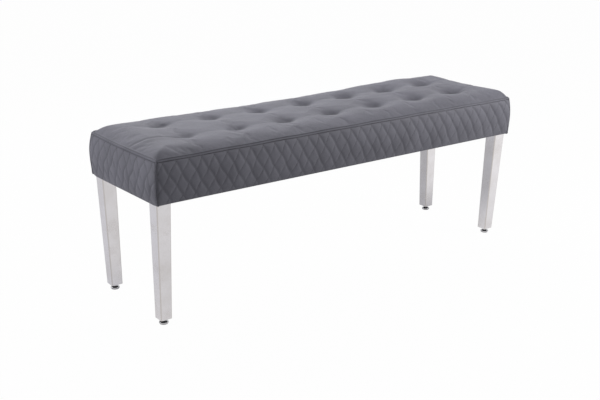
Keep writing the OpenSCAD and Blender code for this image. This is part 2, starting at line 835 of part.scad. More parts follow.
module foot_stud(corner) {
    socket = pad_thickness + foot_socket_floor + running_gap;
    base_top = pad_thickness + foot_base_height;
    color(chrome_grey) mirrored(corner) translate([foot_x, foot_y, 0]) {
        translate([0, 0, socket])
            cylinder(d = stud_d, h = base_top - socket + stud_length, $fn = 48);
        translate([0, 0, base_top + collar_gap])
            cylinder(d = collar_flats / cos(30), h = collar_height - collar_gap, $fn = 6);
    }
}

module foot_stud_front_left() { foot_stud(front_left); }
module foot_stud_front_right() { foot_stud(front_right); }
module foot_stud_back_left() { foot_stud(back_left); }
module foot_stud_back_right() { foot_stud(back_right); }

seat_top_panel();
side_band_front();
side_band_back();
side_band_left();
side_band_right();
cover_hem();
dust_cloth();
staples();
wadding_sheet();
foam_core();
tuft_cords();
tuft_washers();
seat_deck();
frame_rail_front();
frame_rail_back();
frame_rail_left();
frame_rail_right();
cross_brace_left();
cross_brace_right();
corner_block_front_left();
corner_block_front_right();
corner_block_back_left();
corner_block_back_right();
deck_screws();
rail_screws();
tee_nuts();
leg_bolts();
bolt_washers();
leg_plate_front_left();
leg_plate_front_right();
leg_plate_back_left();
leg_plate_back_right();
leg_front_left();
leg_front_right();
leg_back_left();
leg_back_right();
leg_plug_front_left();
leg_plug_front_right();
leg_plug_back_left();
leg_plug_back_right();
sleeve_front_left();
sleeve_front_right();
sleeve_back_left();
sleeve_back_right();
foot_base_front_left();
foot_base_front_right();
foot_base_back_left();
foot_base_back_right();
foot_pad_front_left();
foot_pad_front_right();
foot_pad_back_left();
foot_pad_back_right();
foot_stud_front_left();
foot_stud_front_right();
foot_stud_back_left();
foot_stud_back_right();
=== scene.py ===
import math

import bpy
import numpy as np
from mathutils import Matrix, Vector


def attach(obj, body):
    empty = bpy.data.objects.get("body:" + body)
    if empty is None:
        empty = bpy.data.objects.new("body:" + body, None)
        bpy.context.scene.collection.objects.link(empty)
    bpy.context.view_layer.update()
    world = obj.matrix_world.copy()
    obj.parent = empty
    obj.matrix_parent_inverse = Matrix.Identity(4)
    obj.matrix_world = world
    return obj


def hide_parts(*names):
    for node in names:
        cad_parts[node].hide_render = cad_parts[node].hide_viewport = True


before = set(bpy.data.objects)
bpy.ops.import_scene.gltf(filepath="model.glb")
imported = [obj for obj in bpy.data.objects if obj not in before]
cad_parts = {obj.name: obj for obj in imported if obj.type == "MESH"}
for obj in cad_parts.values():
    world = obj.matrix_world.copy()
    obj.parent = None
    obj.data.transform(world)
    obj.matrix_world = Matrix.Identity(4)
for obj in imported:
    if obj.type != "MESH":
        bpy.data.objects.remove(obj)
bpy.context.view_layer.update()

scene = bpy.context.scene


# Camera: it stands at the front, left of the bench's middle, a little above
# the seat, and looks down along the length with a short telephoto lens.
yaw, pitch, tilt = math.radians(36.737), math.radians(18.469), math.radians(0.56)
camera_place = (-1.786307, -2.316323, 1.169135)
ahead = Vector((math.sin(yaw) * math.cos(pitch), math.cos(yaw) * math.cos(pitch),
                -math.sin(pitch)))
level_right = Vector((math.cos(yaw), -math.sin(yaw), 0))
level_up = level_right.cross(ahead)
view_right = level_right * math.cos(tilt) + level_up * math.sin(tilt)
view_up = level_up * math.cos(tilt) - level_right * math.sin(tilt)
camera = bpy.data.objects.new("camera", bpy.data.cameras.new("camera"))
camera.data.sensor_width = 36
camera.data.lens = 59.414
camera.data.clip_end = 50
camera.matrix_world = Matrix.Translation(camera_place) @ Matrix(
    (view_right, view_up, -ahead)).transposed().to_4x4()
scene.collection.objects.link(camera)
scene.camera = camera


# Cover leather: grey leatherette with a fine pebbled grain, a little uneven in
# its dye, and painted shade darkening it in the seams, quilting and tuft hollows. The
# grain and the dye are node groups, because other pieces' materials share them.
# The darker tone serves both the dye's random patches and the painted shade
leather_tone, leather_dark_dye_and_shade = (0.232, 0.229, 0.266, 1), (0.105, 0.103, 0.122, 1)
leather_gloss, grain_depth = 0.55, 0.00009


def node_group(name, inputs, outputs):
    """An empty node group with those named sockets, and its two end nodes."""
    group = bpy.data.node_groups.new(name, "ShaderNodeTree")
    for label, kind, value in inputs:
        socket = group.interface.new_socket(label, in_out="INPUT", socket_type=kind)
        socket.default_value = value
    for label, kind in outputs:
        group.interface.new_socket(label, in_out="OUTPUT", socket_type=kind)
    return group, group.nodes.new("NodeGroupInput"), group.nodes.new("NodeGroupOutput")


def add_node(tree, kind, **settings):
    """A node whose properties and input sockets are set by name."""
    node = tree.nodes.new(kind)
    for key, value in settings.items():
        if hasattr(node, key):
            setattr(node, key, value)
        else:
            node.inputs[key.replace("_", " ")].default_value = value
    return node


def add_math(tree, operation, first, second=None, third=None):
    """A math node fed by sockets or plain numbers; gives its output socket."""
    node = add_node(tree, "ShaderNodeMath", operation=operation)
    for socket, value in zip(node.inputs, (first, second, third)):
        if isinstance(value, bpy.types.NodeSocket):
            tree.links.new(value, socket)
        elif value is not None:
            socket.default_value = value
    return node.outputs[0]


FLOAT, COLOUR, VECTOR = "NodeSocketFloat", "NodeSocketColor", "NodeSocketVector"

grain, grain_in, grain_out = node_group(
    "pebbled_grain", [("Place", VECTOR, (0, 0, 0)), ("Cells per metre", FLOAT, 700),
                      ("Creasing", FLOAT, 0.35)], [("Height", FLOAT), ("Pits", FLOAT)])
warp = add_node(grain, "ShaderNodeTexNoise", Scale=160, Detail=2)
grain.links.new(grain_in.outputs["Place"], warp.inputs["Vector"])
shifted = add_node(grain, "ShaderNodeVectorMath", operation="MULTIPLY_ADD")
shifted.inputs[1].default_value = (0.0016, 0.0016, 0.0016)
grain.links.new(warp.outputs["Color"], shifted.inputs[0])
grain.links.new(grain_in.outputs["Place"], shifted.inputs[2])
cells = add_node(grain, "ShaderNodeTexVoronoi", feature="DISTANCE_TO_EDGE")
grain.links.new(shifted.outputs[0], cells.inputs["Vector"])
grain.links.new(grain_in.outputs["Cells per metre"], cells.inputs["Scale"])
pebble = add_node(grain, "ShaderNodeMapRange", interpolation_type="SMOOTHSTEP")
pebble.inputs["From Max"].default_value = 0.28
grain.links.new(cells.outputs["Distance"], pebble.inputs["Value"])
creases = add_node(grain, "ShaderNodeTexNoise", Scale=75, Detail=5, Roughness=0.62)
grain.links.new(grain_in.outputs["Place"], creases.inputs["Vector"])
crease_height = add_math(grain, "MULTIPLY", creases.outputs["Fac"], grain_in.outputs["Creasing"])
grain.links.new(add_math(grain, "ADD", pebble.outputs["Result"], crease_height),
                grain_out.inputs["Height"])
grain.links.new(add_math(grain, "SUBTRACT", 1.0, pebble.outputs["Result"]),
                grain_out.inputs["Pits"])

dye, dye_in, dye_out = node_group(
    "uneven_tone", [("Place", VECTOR, (0, 0, 0)), ("Patches per metre", FLOAT, 9),
                    ("Tone", COLOUR, (0.5, 0.5, 0.5, 1)),
                    ("Darker tone", COLOUR, (0.4, 0.4, 0.4, 1)), ("Depth", FLOAT, 0)],
    [("Color", COLOUR), ("Patches", FLOAT)])
patches = add_node(dye, "ShaderNodeTexNoise", Detail=6, Roughness=0.55)
dye.links.new(dye_in.outputs["Place"], patches.inputs["Vector"])
dye.links.new(dye_in.outputs["Patches per metre"], patches.inputs["Scale"])
spread = add_node(dye, "ShaderNodeMapRange", interpolation_type="SMOOTHSTEP")
spread.inputs["From Min"].default_value = 0.3
spread.inputs["From Max"].default_value = 0.7
dye.links.new(patches.outputs["Fac"], spread.inputs["Value"])
# Depth adds a further darker share: painted shade on the leather, rubbed arrises on the steel
share = add_math(dye, "MULTIPLY_ADD", spread.outputs["Result"], 0.35, dye_in.outputs["Depth"])
tones = add_node(dye, "ShaderNodeMix", data_type="RGBA", clamp_factor=True)
dye.links.new(share, tones.inputs["Factor"])
dye.links.new(dye_in.outputs["Tone"], tones.inputs["A"])
dye.links.new(dye_in.outputs["Darker tone"], tones.inputs["B"])
dye.links.new(tones.outputs["Result"], dye_out.inputs["Color"])
dye.links.new(spread.outputs["Result"], dye_out.inputs["Patches"])


def new_material(name, **shader_values):
    """A material with its Principled shader and object coordinates."""
    material = bpy.data.materials.new(name)
    material.use_nodes = True
    tree = material.node_tree
    shader = tree.nodes["Principled BSDF"]
    for key, value in shader_values.items():
        shader.inputs[key.replace("_", " ")].default_value = value
    place = tree.nodes.new("ShaderNodeTexCoord").outputs["Object"]
    return material, tree, shader, place


def add_group(tree, group, place, **values):
    """That node group in a material, with its own values, at that place."""
    node = tree.nodes.new("ShaderNodeGroup")
    node.node_tree = group
    tree.links.new(place, node.inputs["Place"])
    for key, value in values.items():
        node.inputs[key.replace("_", " ")].default_value = value
    return node


def add_bump(tree, shader, height, distance, strength):
    """A bump from a height in metres into the shader's normal."""
    bump = add_node(tree, "ShaderNodeBump", Distance=distance, Strength=strength)
    tree.links.new(height, bump.inputs["Height"])
    tree.links.new(bump.outputs["Normal"], shader.inputs["Normal"])


def leather(name):
    """Leatherette darkened by painted shade in its seams, quilting and tufts, where its points are
    marked.
    """
    material, tree, shader, place = new_material(
        name, Roughness=leather_gloss, IOR=1.5, Specular_IOR_Level=0.25, Sheen_Weight=0.08,
        Sheen_Roughness=0.5)
    pulled = add_node(tree, "ShaderNodeAttribute", attribute_name="pulled")
    colour = add_group(tree, dye, place, Patches_per_metre=11, Tone=leather_tone,
                       Darker_tone=leather_dark_dye_and_shade)
    # The marked share is painted shade: it draws the colour towards the darker tone
    tree.links.new(add_math(tree, "MULTIPLY", pulled.outputs["Fac"], 0.9), colour.inputs["Depth"])
    tree.links.new(colour.outputs["Color"], shader.inputs["Base Color"])
    pores = add_group(tree, grain, place, Cells_per_metre=620, Creasing=0.5)
    worn = add_math(tree, "MULTIPLY_ADD", colour.outputs["Patches"], -0.05, leather_gloss)
    tree.links.new(add_math(tree, "MULTIPLY_ADD", pores.outputs["Pits"], 0.14, worn),
                   shader.inputs["Roughness"])
    add_bump(tree, shader, pores.outputs["Height"], grain_depth, 0.8)
    return material


cover_leather = leather("grey_leatherette")


# Top panel: one sheet of leatherette over foam and wadding. It is held along
# its seam and at fourteen tufts tied through to the deck, and the filling
# swells it between them; the swelling is a cloth simulation under pressure.
half_length, half_depth, seam_z = 0.650, 0.1875, 0.470
seam_inset, end_bow, side_bow = 0.001, 0.004, 0.001
crown_height = 0.0225
left_roll, right_roll, front_roll, back_roll = 0.054, 0.034, 0.056, 0.059
tuft_depth, tuft_width, tuft_reach = 0.0160, 0.0235, 0.045
first_tuft_x, tuft_pitch, tuft_row_y = -0.498, 0.166, 0.071
tuft_xs = [first_tuft_x + tuft_pitch * i for i in range(7)]
tuft_ys = [-tuft_row_y, tuft_row_y]
side_lift, end_lift, seam_wave = 0.0018, -0.0010, 0.0006
groove_depth = 0.0008


def rolled(distance, run):
    """How far a surface has risen, from 0 at its edge to 1 past that run."""
    return 1 - (1 - np.clip(distance / run, 0, 1)) ** 2


def hump(place, middle, reach):
    """A smooth hump, 1 at its middle and nearly gone past twice its reach."""
    return np.exp(-((place - middle) / reach) ** 2)


def wander(places, size, seed):
    """Smooth unevenness of about -1 to 1, with swells of about that size."""
    chance = np.random.RandomState(seed)
    total = np.zeros(places.shape[:-1])
    for _ in range(9):
        heading = chance.normal(size=places.shape[-1])
        heading *= 2 * np.pi / size * chance.uniform(0.6, 1.6) / np.linalg.norm(heading)
        total += np.cos(places @ heading + chance.uniform(0, 2 * np.pi))
    return total / 4


def seam_plan(u, v):
    """Where the point at those shares of the panel lies, seen from above."""
    x = u * (half_length - seam_inset + end_bow * (1 - v * v))
    y = v * (half_depth - seam_inset + side_bow * (1 - u * u))
    return x, y


def slack(x, y):
    """How far the band's foot hangs down, most at the left end's back, and the seam above."""
    foot_step, foot_hang, seam_hang = 0.0030, 0.0088, 0.0040
    back = np.clip((y + half_depth) / (2 * half_depth), 0, 1)
    foot = foot_step * np.clip(back / 0.06, 0, 1) + foot_hang * back
    foot = foot * (1 - 0.5 * hump(half_depth - y, 0, 0.011))
    near_left_end = hump(x, -half_length, 0.16)
    return foot * near_left_end, seam_hang * back ** 2 * near_left_end


def seam_height(u, v):
    """The seam's own height: drawn up a little mid-length, down mid-end."""
    side = side_lift * (1 - u ** 2) * np.abs(v) ** 4
    end = end_lift * (1 - v ** 2) * np.abs(u) ** 16
    edge_share = np.maximum(np.abs(u), np.abs(v)) ** 12
    hang = slack(u * half_length, v * half_depth)[1] * edge_share
    return seam_z + side + end - hang + seam_wave * np.cos(23 * u + 3 * v)


def nearest_tuft(x, y):
    """How far the nearest tuft lies, along the length and across it."""
    dx = x[..., None] - np.array(tuft_xs)
    dy = y[..., None] - np.array(tuft_ys)
    return (np.take_along_axis(dx, abs(dx).argmin(-1)[..., None], -1)[..., 0],
            np.take_along_axis(dy, abs(dy).argmin(-1)[..., None], -1)[..., 0])


def edge_rise(u, v, x):
    """How far the panel has risen past its rolled edges, from 0 to 1."""
    end_gap, side_gap = half_length * (1 - abs(u)), half_depth * (1 - abs(v))
    end = rolled(end_gap, np.where(u < 0, left_roll, right_roll + 0.010 * v))
    # The front rolls over in a nearly flat slope that narrows to both corners
    narrower_left = 0.026 * np.exp(-(x + half_length) / 0.12)
    narrower_right = 0.030 * np.exp(-(half_length - x) / 0.10)
    front_run, bend = front_roll - narrower_left - narrower_right, 11
    slope = 1 - np.logaddexp(0, bend * (1 - side_gap / front_run)) / bend
    front = 0.9 * slope + 0.1 * rolled(side_gap, 0.11)
    back = rolled(side_gap, back_roll - 0.025 * hump(x, 0.41, 0.22))
    side = np.where(v < 0, front, back)
    low = (np.clip(1 - end, 0, 1) ** 3 + np.clip(1 - side, 0, 1) ** 3) ** (1 / 3)
    return np.clip(1 - low, 0, 1)


def open_height(u, v, x):
    """How high the filling pushes the panel away from edges and tufts."""
    sunk_left_of_middle = 0.0038 * hump(x, -0.12, 0.26)
    sunk_right_end = 0.0024 * np.clip((x - 0.50) / 0.10, 0, 1) * hump(v, -0.15, 0.5)
    full_back_right = 0.0026 * hump(x, 0.47, 0.09) * np.clip(v * 1.4, 0, 1)
    return (crown_height - sunk_left_of_middle + 0.0008 * u
            - sunk_right_end + full_back_right)


def tuft_hollow(u, dx, dy):
    """How deep a tuft draws the panel in, by the gaps to its middle."""
    # The hollows are longer than wide, and steeper on the side of the front
    rightwards = np.clip(u, 0, 1)
    long_way = dx / (1.36 + 0.20 * rightwards)
    short_way = dy * np.where(dy < 0, 1.14, 0.92 - 0.14 * rightwards)
    away = np.hypot(long_way, short_way) / (1.03 + 0.13 * u)
    bowl, brim = np.exp(-(away / tuft_width) ** 2.4), np.exp(-away / tuft_reach)
    return (tuft_depth + 0.0060 * u) * (0.76 * bowl + 0.24 * brim)


def tuft_valley(x, y, dx, dy):
    """How deep the faint valleys from tuft to tuft are, in a row and across."""
    between = np.clip(1 - np.maximum(abs(x) - tuft_xs[-1], 0) / 0.08, 0, 1)
    in_row = (0.0005 + 0.0032 * np.exp(-abs(dx) / 0.038)) * hump(dy, 0, 0.012) * between
    inside = np.clip(1 - np.maximum(abs(y) - tuft_row_y, 0) / 0.05, 0, 1)
    across = (0.0003 + 0.0012 * np.exp(-abs(dy) / 0.028)) * hump(dx, 0, 0.014) * inside
    return np.maximum(in_row, across) * np.clip(np.hypot(dx, dy) / 0.02, 0, 1)


def drawn_rise(u, v):
    """The panel's rise above its seam, drawn down at the tufts and between them."""
    x, y = seam_plan(u, v)
    dx, dy = nearest_tuft(x, y)
    rise = edge_rise(u, v, x)
    return open_height(u, v, x) * rise - (tuft_hollow(u, dx, dy) + tuft_valley(x, y, dx, dy)) * rise


def grid_faces(columns, rows, first=0, closed=False):
    """Quads of a net of points, row after row; a closed one joins its ends."""
    across = columns if closed else columns - 1
    c, r = np.meshgrid(np.arange(across), np.arange(rows - 1))
    a = r * columns + c
    b = r * columns + (c + 1) % columns
    return (first + np.stack([a, b, b + columns, a + columns], -1)).reshape(-1, 4).tolist()


def new_piece(name, points, faces, material=None, flat_from=None):
    """A smooth-shaded mesh piece; faces from flat_from on are flat."""
    mesh = bpy.data.meshes.new(name)
    mesh.from_pydata(np.asarray(points, float).tolist(), [], faces)
    smooth = np.ones(len(mesh.polygons), bool)
    if flat_from is not None:
        smooth[flat_from:] = False
    mesh.polygons.foreach_set("use_smooth", smooth)
    mesh.update()
    piece = bpy.data.objects.new(name, mesh)
    scene.collection.objects.link(piece)
    if material:
        mesh.materials.append(material)
    return piece


def mark(piece, name, values):
    """Keeps one number for each point of a piece, for its material."""
    layer = piece.data.attributes.new(name, "FLOAT", "POINT")
    layer.data.foreach_set("value", np.asarray(values, np.float32).ravel())


def swell(points, faces, held, pressure, frames, growth, cap):
    """The points of a net after a cloth simulation under the filling's pressure."""
    blank = new_piece("blank", points, faces)
    pins = blank.vertex_groups.new(name="held")
    pins.add(np.flatnonzero(held).tolist(), 1.0, "REPLACE")
    cloth = blank.modifiers.new("filling", "CLOTH")
    cloth.settings.vertex_group_mass = "held"
    cloth.settings.quality = 5
    cloth.settings.mass = 0.35
    cloth.settings.tension_stiffness = 22
    cloth.settings.compression_stiffness = 22
    cloth.settings.shear_stiffness = 9
    cloth.settings.bending_stiffness = 1.2
    cloth.settings.shrink_min = -growth
    cloth.settings.use_pressure = True
    cloth.settings.uniform_pressure_force = pressure
    cloth.settings.effector_weights.gravity = 0
    cloth.collision_settings.use_collision = False
    cloth.point_cache.frame_end = frames
    for number in range(1, frames + 1):
        scene.frame_set(number)
    done = blank.evaluated_get(bpy.context.evaluated_depsgraph_get())
    moved = np.empty(len(points) * 3)
    done.data.vertices.foreach_get("co", moved)
    scene.frame_set(1)
    mesh = blank.data
    bpy.data.objects.remove(blank)
    bpy.data.meshes.remove(mesh)
    step = moved.reshape(-1, 3) - points
    length = np.linalg.norm(step, axis=1, keepdims=True)
    return step * np.minimum(1, cap / np.maximum(length, 1e-9))


net_columns, net_rows, tied_radius = 261, 77, 0.0065
net_u, net_v = np.linspace(-1, 1, net_columns), np.linspace(-1, 1, net_rows)
su, sv = np.meshgrid(net_u, net_v)
sx, sy = seam_plan(su, sv)
start = np.stack([sx, sy, seam_height(su, sv) + drawn_rise(su, sv)], -1)
sewn = (abs(su) > 0.9999) | (abs(sv) > 0.9999)
tied = np.hypot(*nearest_tuft(sx, sy)) < tied_radius
swelling = swell(start.reshape(-1, 3), grid_faces(net_columns, net_rows), (sewn | tied).ravel(),
                 pressure=1.4, frames=20, growth=0.002, cap=0.003).reshape(start.shape)


def edge_places(half, fine, coarse, zone):
    """Shares of a panel's width, close together next to both of its edges."""
    inner = half - zone
    count = int(round(2 * inner / coarse))
    near = np.linspace(inner, half, int(round(zone / fine)) + 1)[1:]
    return np.concatenate([-near[::-1], np.linspace(-inner, inner, count + 1), near]) / half


def looked_up(field, u, v):
    """A field of the simulated net, read smoothly at other shares."""
    i = np.clip((u + 1) / 2 * (net_columns - 1), 0, net_columns - 1.001)
    j = np.clip((v + 1) / 2 * (net_rows - 1), 0, net_rows - 1.001)
    i0, j0 = i.astype(int), j.astype(int)
    fi, fj = i - i0, j - j0

    def weights(f):
        return [(-f + 2 * f ** 2 - f ** 3) / 2, (2 - 5 * f ** 2 + 3 * f ** 3) / 2,
                (f + 4 * f ** 2 - 3 * f ** 3) / 2, (-f ** 2 + f ** 3) / 2]

    total = 0
    for a, wa in enumerate(weights(fi)):
        for b, wb in enumerate(weights(fj)):
            ii = np.clip(i0 + a - 1, 0, net_columns - 1)
            jj = np.clip(j0 + b - 1, 0, net_rows - 1)
            total = total + field[jj, ii] * wa * wb
    return total


fine_step, coarse_step, fine_zone = 0.0009, 0.0026, 0.012
panel_u = edge_places(half_length, fine_step, coarse_step, fine_zone)
panel_v = edge_places(half_depth, fine_step, coarse_step, fine_zone)
pu, pv = np.meshgrid(panel_u, panel_v)
px, py = seam_plan(pu, pv)
px = px + looked_up(swelling[..., 0], pu, pv)
py = py + looked_up(swelling[..., 1], pu, pv)
rise = drawn_rise(pu, pv) + looked_up(swelling[..., 2], pu, pv)
gap_x, gap_y = nearest_tuft(px, py)
gap = np.hypot(gap_x, gap_y)
plan = np.stack([px, py], -1)
edge_gap = np.minimum(half_length * (1 - abs(pu)), half_depth * (1 - abs(pv)))
# Short pleats fan out from each tuft, a little different round every one
pleat_height, stitch_dip = 0.0003, 0.0010
bearing = np.arctan2(gap_y, gap_x)
turn = 1.7 * (px - gap_x) / tuft_pitch + (py - gap_y) / 0.05
pleats = np.cos(5 * bearing + turn) + 0.6 * np.cos(3 * bearing - 2 * turn)
rise = rise + pleat_height * pleats * hump(gap, 0.022, 0.010)
rise = rise - stitch_dip * hump(gap, 0, 0.005)


def seam_painted_shade(x):
    """How much painted shade the top seam's grooves get: fainter to the right and at the left end.
    """
    return 0.9 - 0.5 * np.clip((x + 0.1) / 0.5, 0, 1) - 0.6 * (x < 0.01 - half_length)


def crease(x, y, route, width):
    """Distance from a crease and side of it, both over its width, and share of its run."""
    best = np.full(x.shape, 1e9)
    side = np.zeros(x.shape)
    share = np.zeros(x.shape)
    for k, (a, b) in enumerate(zip(route[:-1], route[1:])):
        ax, ay, bx, by = *a, *b
        length = math.hypot(bx - ax, by - ay)
        t = np.clip(((x - ax) * (bx - ax) + (y - ay) * (by - ay)) / length ** 2, 0, 1)
        far = np.hypot(x - ax - t * (bx - ax), y - ay - t * (by - ay))
        nearer = far < best
        cross = ((bx - ax) * (y - ay) - (by - ay) * (x - ax)) / length
        best = np.where(nearer, far, best)
        side = np.where(nearer, cross / width, side)
        share = np.where(nearer, (k + t) / (len(route) - 1), share)
    return best / width, side, share


# Pull lines run from the end seams into the first and last tufts
folds = [
    (0.0022, [(-0.644, -0.038), (-0.622, -0.045), (-0.590, -0.052), (-0.550, -0.062),
              (-0.508, -0.070)]),
    (0.0013, [(-0.618, 0.100), (-0.590, 0.095), (-0.555, 0.085), (-0.513, 0.073)]),
    (0.0016, [(0.636, -0.052), (0.600, -0.056), (0.555, -0.064), (0.513, -0.070)]),
    (0.0014, [(0.636, 0.060), (0.600, 0.066), (0.555, 0.071), (0.513, 0.071)])]
fold_width = 0.0060
for depth, route in folds:
    off, side, share = crease(px, py, route, fold_width)
    fading = (np.sin(np.pi * np.clip(share * 0.85 + 0.12, 0, 1)) ** 0.6
              * np.clip(edge_gap / 0.010, 0, 1))
    rise = rise - depth * np.exp(-off ** 2) * fading
    rise = rise + 0.5 * depth * hump(side, -2.2, 1.6) * (off < 6) * fading
loose = rolled(edge_gap, 0.03)
rise = rise + loose * (0.0005 * wander(plan, 0.15, 3) + 0.00008 * wander(plan, 0.045, 4))
groove = hump(edge_gap, 0.0016, 0.0009)
rise = np.maximum(rise, 0.9 * edge_gap * (edge_gap < 0.004)) - groove_depth * groove
top = np.stack([px, py, seam_height(pu, pv) + rise], -1)
columns, rows = len(panel_u), len(panel_v)
rim = ([(0, c) for c in range(columns - 1)]
       + [(r, columns - 1) for r in range(rows - 1)]
       + [(rows - 1, c) for c in range(columns - 1, 0, -1)]
       + [(r, 0) for r in range(rows - 1, 0, -1)])
rim_index = [r * columns + c for r, c in rim]
first = columns * rows
skirt_depth = 0.0005
under = [[top[r, c, 0], top[r, c, 1], min(seam_z, top[r, c, 2]) - skirt_depth] for r, c in rim]
under.append([0, 0, seam_z - skirt_depth])
count = len(rim)
faces = grid_faces(columns, rows)
skirt = [[first + i, first + (i + 1) % count, rim_index[(i + 1) % count], rim_index[i]]
         for i in range(count)]
underside = [[first + (i + 1) % count, first + i, first + count] for i in range(count)]
top_panel = new_piece("top_panel_leather", np.concatenate([top.reshape(-1, 3), under]),
                      faces + skirt + underside, cover_leather, len(faces))
# Painted shade darkens the leather in the seam's groove and round each tuft, shifted behind the
# tufts and stronger towards the right
back_of_tuft = 0.006 * np.clip(pu, 0, 1)
tuft_painted_shade = np.exp(-(gap_x / 0.028) ** 2 - ((gap_y - back_of_tuft) / 0.019) ** 2)
pulled = seam_painted_shade(px) * groove + (0.50 + 0.35 * pu) * tuft_painted_shade
mark(top_panel, "pulled", np.concatenate([pulled.ravel(), np.zeros(count + 1)]))
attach(top_panel, "bench")
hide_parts("seat_top_panel")


# Side bands: leatherette quilted in diamonds onto a layer of wadding, bellied
# between the top seam and the foot, where each band turns under the frame.
# The lines are machine stitched; their threads are one piece for each band.
band_foot_z, band_height = 0.350, 0.120
band_belly, foot_splay, foot_turn = 0.0070, 0.0037, 0.004
corner_shares = {"front_left": 0.70, "front_right": 0.48, "back_right": 0.50, "back_left": 0.70}
quilt_height, first_crossing, puff = 0.061, 0.019, 0.0024
long_diamonds, end_diamonds, faint_slant = 34, 10, 0.6
strip_drop = 0.0046
stitch_pitch, stitch_length = 0.0046, 0.0034


def band_swell(up):
    """The band's belly at a share of its height, from 0 at its edges to 1."""
    return np.sin(np.pi * np.clip(up, 0, 1) ** 1.3)


def corner_out(share, up):
    """How far out a corner stands: its belly, its seam and its foot, nearly straight."""
    return (band_belly * share * band_swell(up) - seam_inset * up ** 2
            + foot_splay * share * (1 - up))


def turned_under(up):
    """How far the band's foot has turned in under the frame."""
    foot = np.clip(1 - up * band_height / foot_turn, 0, 1)
    return foot_turn * (1 - np.sqrt(np.maximum(1 - foot ** 2, 0)))


def band_surface(along, up, half_run, half_out, bow, height, seed, slack_there, shares):
    """Points of a band drawn as the front one, at shares of its run and height."""
    corner_gap = half_run * (1 - abs(along))
    share = np.where(along < 0, *shares)
    swell_share = share + (1 - share) * rolled(corner_gap, 0.060)
    base = (bow * (1 - along ** 2) * up - seam_inset * up ** 2
            + foot_splay * share * abs(along) ** 30 * (1 - up))
    x = along * (half_run + corner_out(share, up))
    z = band_foot_z + up * (seam_z - band_foot_z)
    lift = side_lift if half_run > half_out else end_lift
    foot_hang, seam_hang = slack_there(along)
    z = z + lift * (1 - along ** 2) * up ** 2 - foot_hang * (1 - up) - seam_hang * up
    out = base + band_belly * band_swell(up) * swell_share + height
    uneven = wander(np.stack([x, z * 1.5], -1), 0.16, seed) * np.sin(np.pi * np.clip(up, 0, 1))
    out = out + 0.0008 * uneven * rolled(corner_gap, 0.05)
    return np.stack([x, -half_out - (out - turned_under(up)), z], -1)


def line_wander(u, w, diamonds):
    """How far the stitched lines stray sideways, in diamonds."""
    stray = 0.045 if diamonds == long_diamonds else 0.085
    return stray * (np.sin(1.9 * u + 4.7 * w) + 0.6 * np.sin(4.3 * u - 3.1 * w + 1))


def quilt_pillow(along, up, half_run, diamonds, slants):
    """Height of the pillows above the stitched lines, and nearness to a line."""
    u = (along + 1) / 2 * diamonds
    w = (up * band_height - first_crossing) / quilt_height
    u = u + line_wander(u, w, diamonds)
    corner_gap, strip_gap = half_run * (1 - abs(along)), (1 - up) * band_height - strip_drop
    fade = (rolled(corner_gap - 0.003, 0.012) * rolled(strip_gap - 0.0005, 0.008)
            * rolled(up * band_height - 0.001, 0.028))
    level, nearness = 1.0, 0.0
    for heading, share in zip((u + w, u - w), slants):
        off = abs(np.sin(np.pi * heading))
        if share < faint_slant:  # it grows fainter still towards the right
            share = share - 0.3 * along
        dip = 0.55 * np.exp(-(off / 0.20) ** 1.4) + 0.45 * (1 - off)
        level = np.minimum(level, 1 - share * dip)
        nearness = np.maximum(nearness, share * hump(off, 0, 0.17))
    if diamonds == long_diamonds:
        fullness = 1 + 0.12 * along
    else:  # the end bands are stuffed fuller, and smoother towards the top
        fullness = 1.5 - 0.8 * np.clip((up - 0.4) / 0.4, 0, 1)
    return puff * fullness * level * fade, nearness * np.clip(fade * 2, 0, 1)


def turned(points, angle):
    """Those points turned about the bench's upright middle line."""
    c, s = math.cos(angle), math.sin(angle)
    points = np.asarray(points, float)
    return np.stack([points[..., 0] * c - points[..., 1] * s,
                     points[..., 0] * s + points[..., 1] * c, points[..., 2]], -1)


def threads(paths, radius, sides):
    """Points and faces of short stitches: slim spindles from start to end."""
    starts = np.array([p[0] for p in paths])
    ends = np.array([p[1] for p in paths])
    lifts = np.array([p[2] for p in paths])
    axis = ends - starts
    axis /= np.linalg.norm(axis, axis=1, keepdims=True)
    side = np.cross(axis, lifts)
    side /= np.linalg.norm(side, axis=1, keepdims=True)
    up = np.cross(side, axis)
    rings = []
    spindle = ((0.0, 0.35, -1.0), (0.22, 1.0, 0.25), (0.78, 1.0, 0.25), (1.0, 0.35, -1.0))
    for share, size, sink in spindle:
        centre = starts + (ends - starts) * share + lifts * radius * sink
        for k in range(sides):
            turn = 2 * np.pi * k / sides
            rings.append(centre + radius * size * (side * np.cos(turn) + up * np.sin(turn)))
    count = len(paths)
    points = np.stack(rings, 1).reshape(-1, 3)
    base = np.arange(count)[:, None] * (len(spindle) * sides)
    faces = []
    for ring in range(len(spindle) - 1):
        for k in range(sides):
            a, b = ring * sides + k, ring * sides + (k + 1) % sides
            faces.append((base + np.array([a, b, b + sides, a + sides])))
    return points, np.concatenate(faces).tolist()


# The thread is far darker than the leather, so the stitched lines also read as painted shade in
# their grooves
thread, tree, shader, place = new_material("thread_dark_as_groove_shade", Roughness=0.6, Specular_IOR_Level=0.2)
shade = add_group(tree, dye, place, Patches_per_metre=300, Tone=(0.085, 0.084, 0.096, 1),
                  Darker_tone=(0.06, 0.059, 0.068, 1))
tree.links.new(shade.outputs["Color"], shader.inputs["Base Color"])
twist = add_node(tree, "ShaderNodeTexWave", Scale=900, Distortion=1.5)
tree.links.new(place, twist.inputs["Vector"])
add_bump(tree, shader, twist.outputs["Fac"], 0.0001, 0.6)


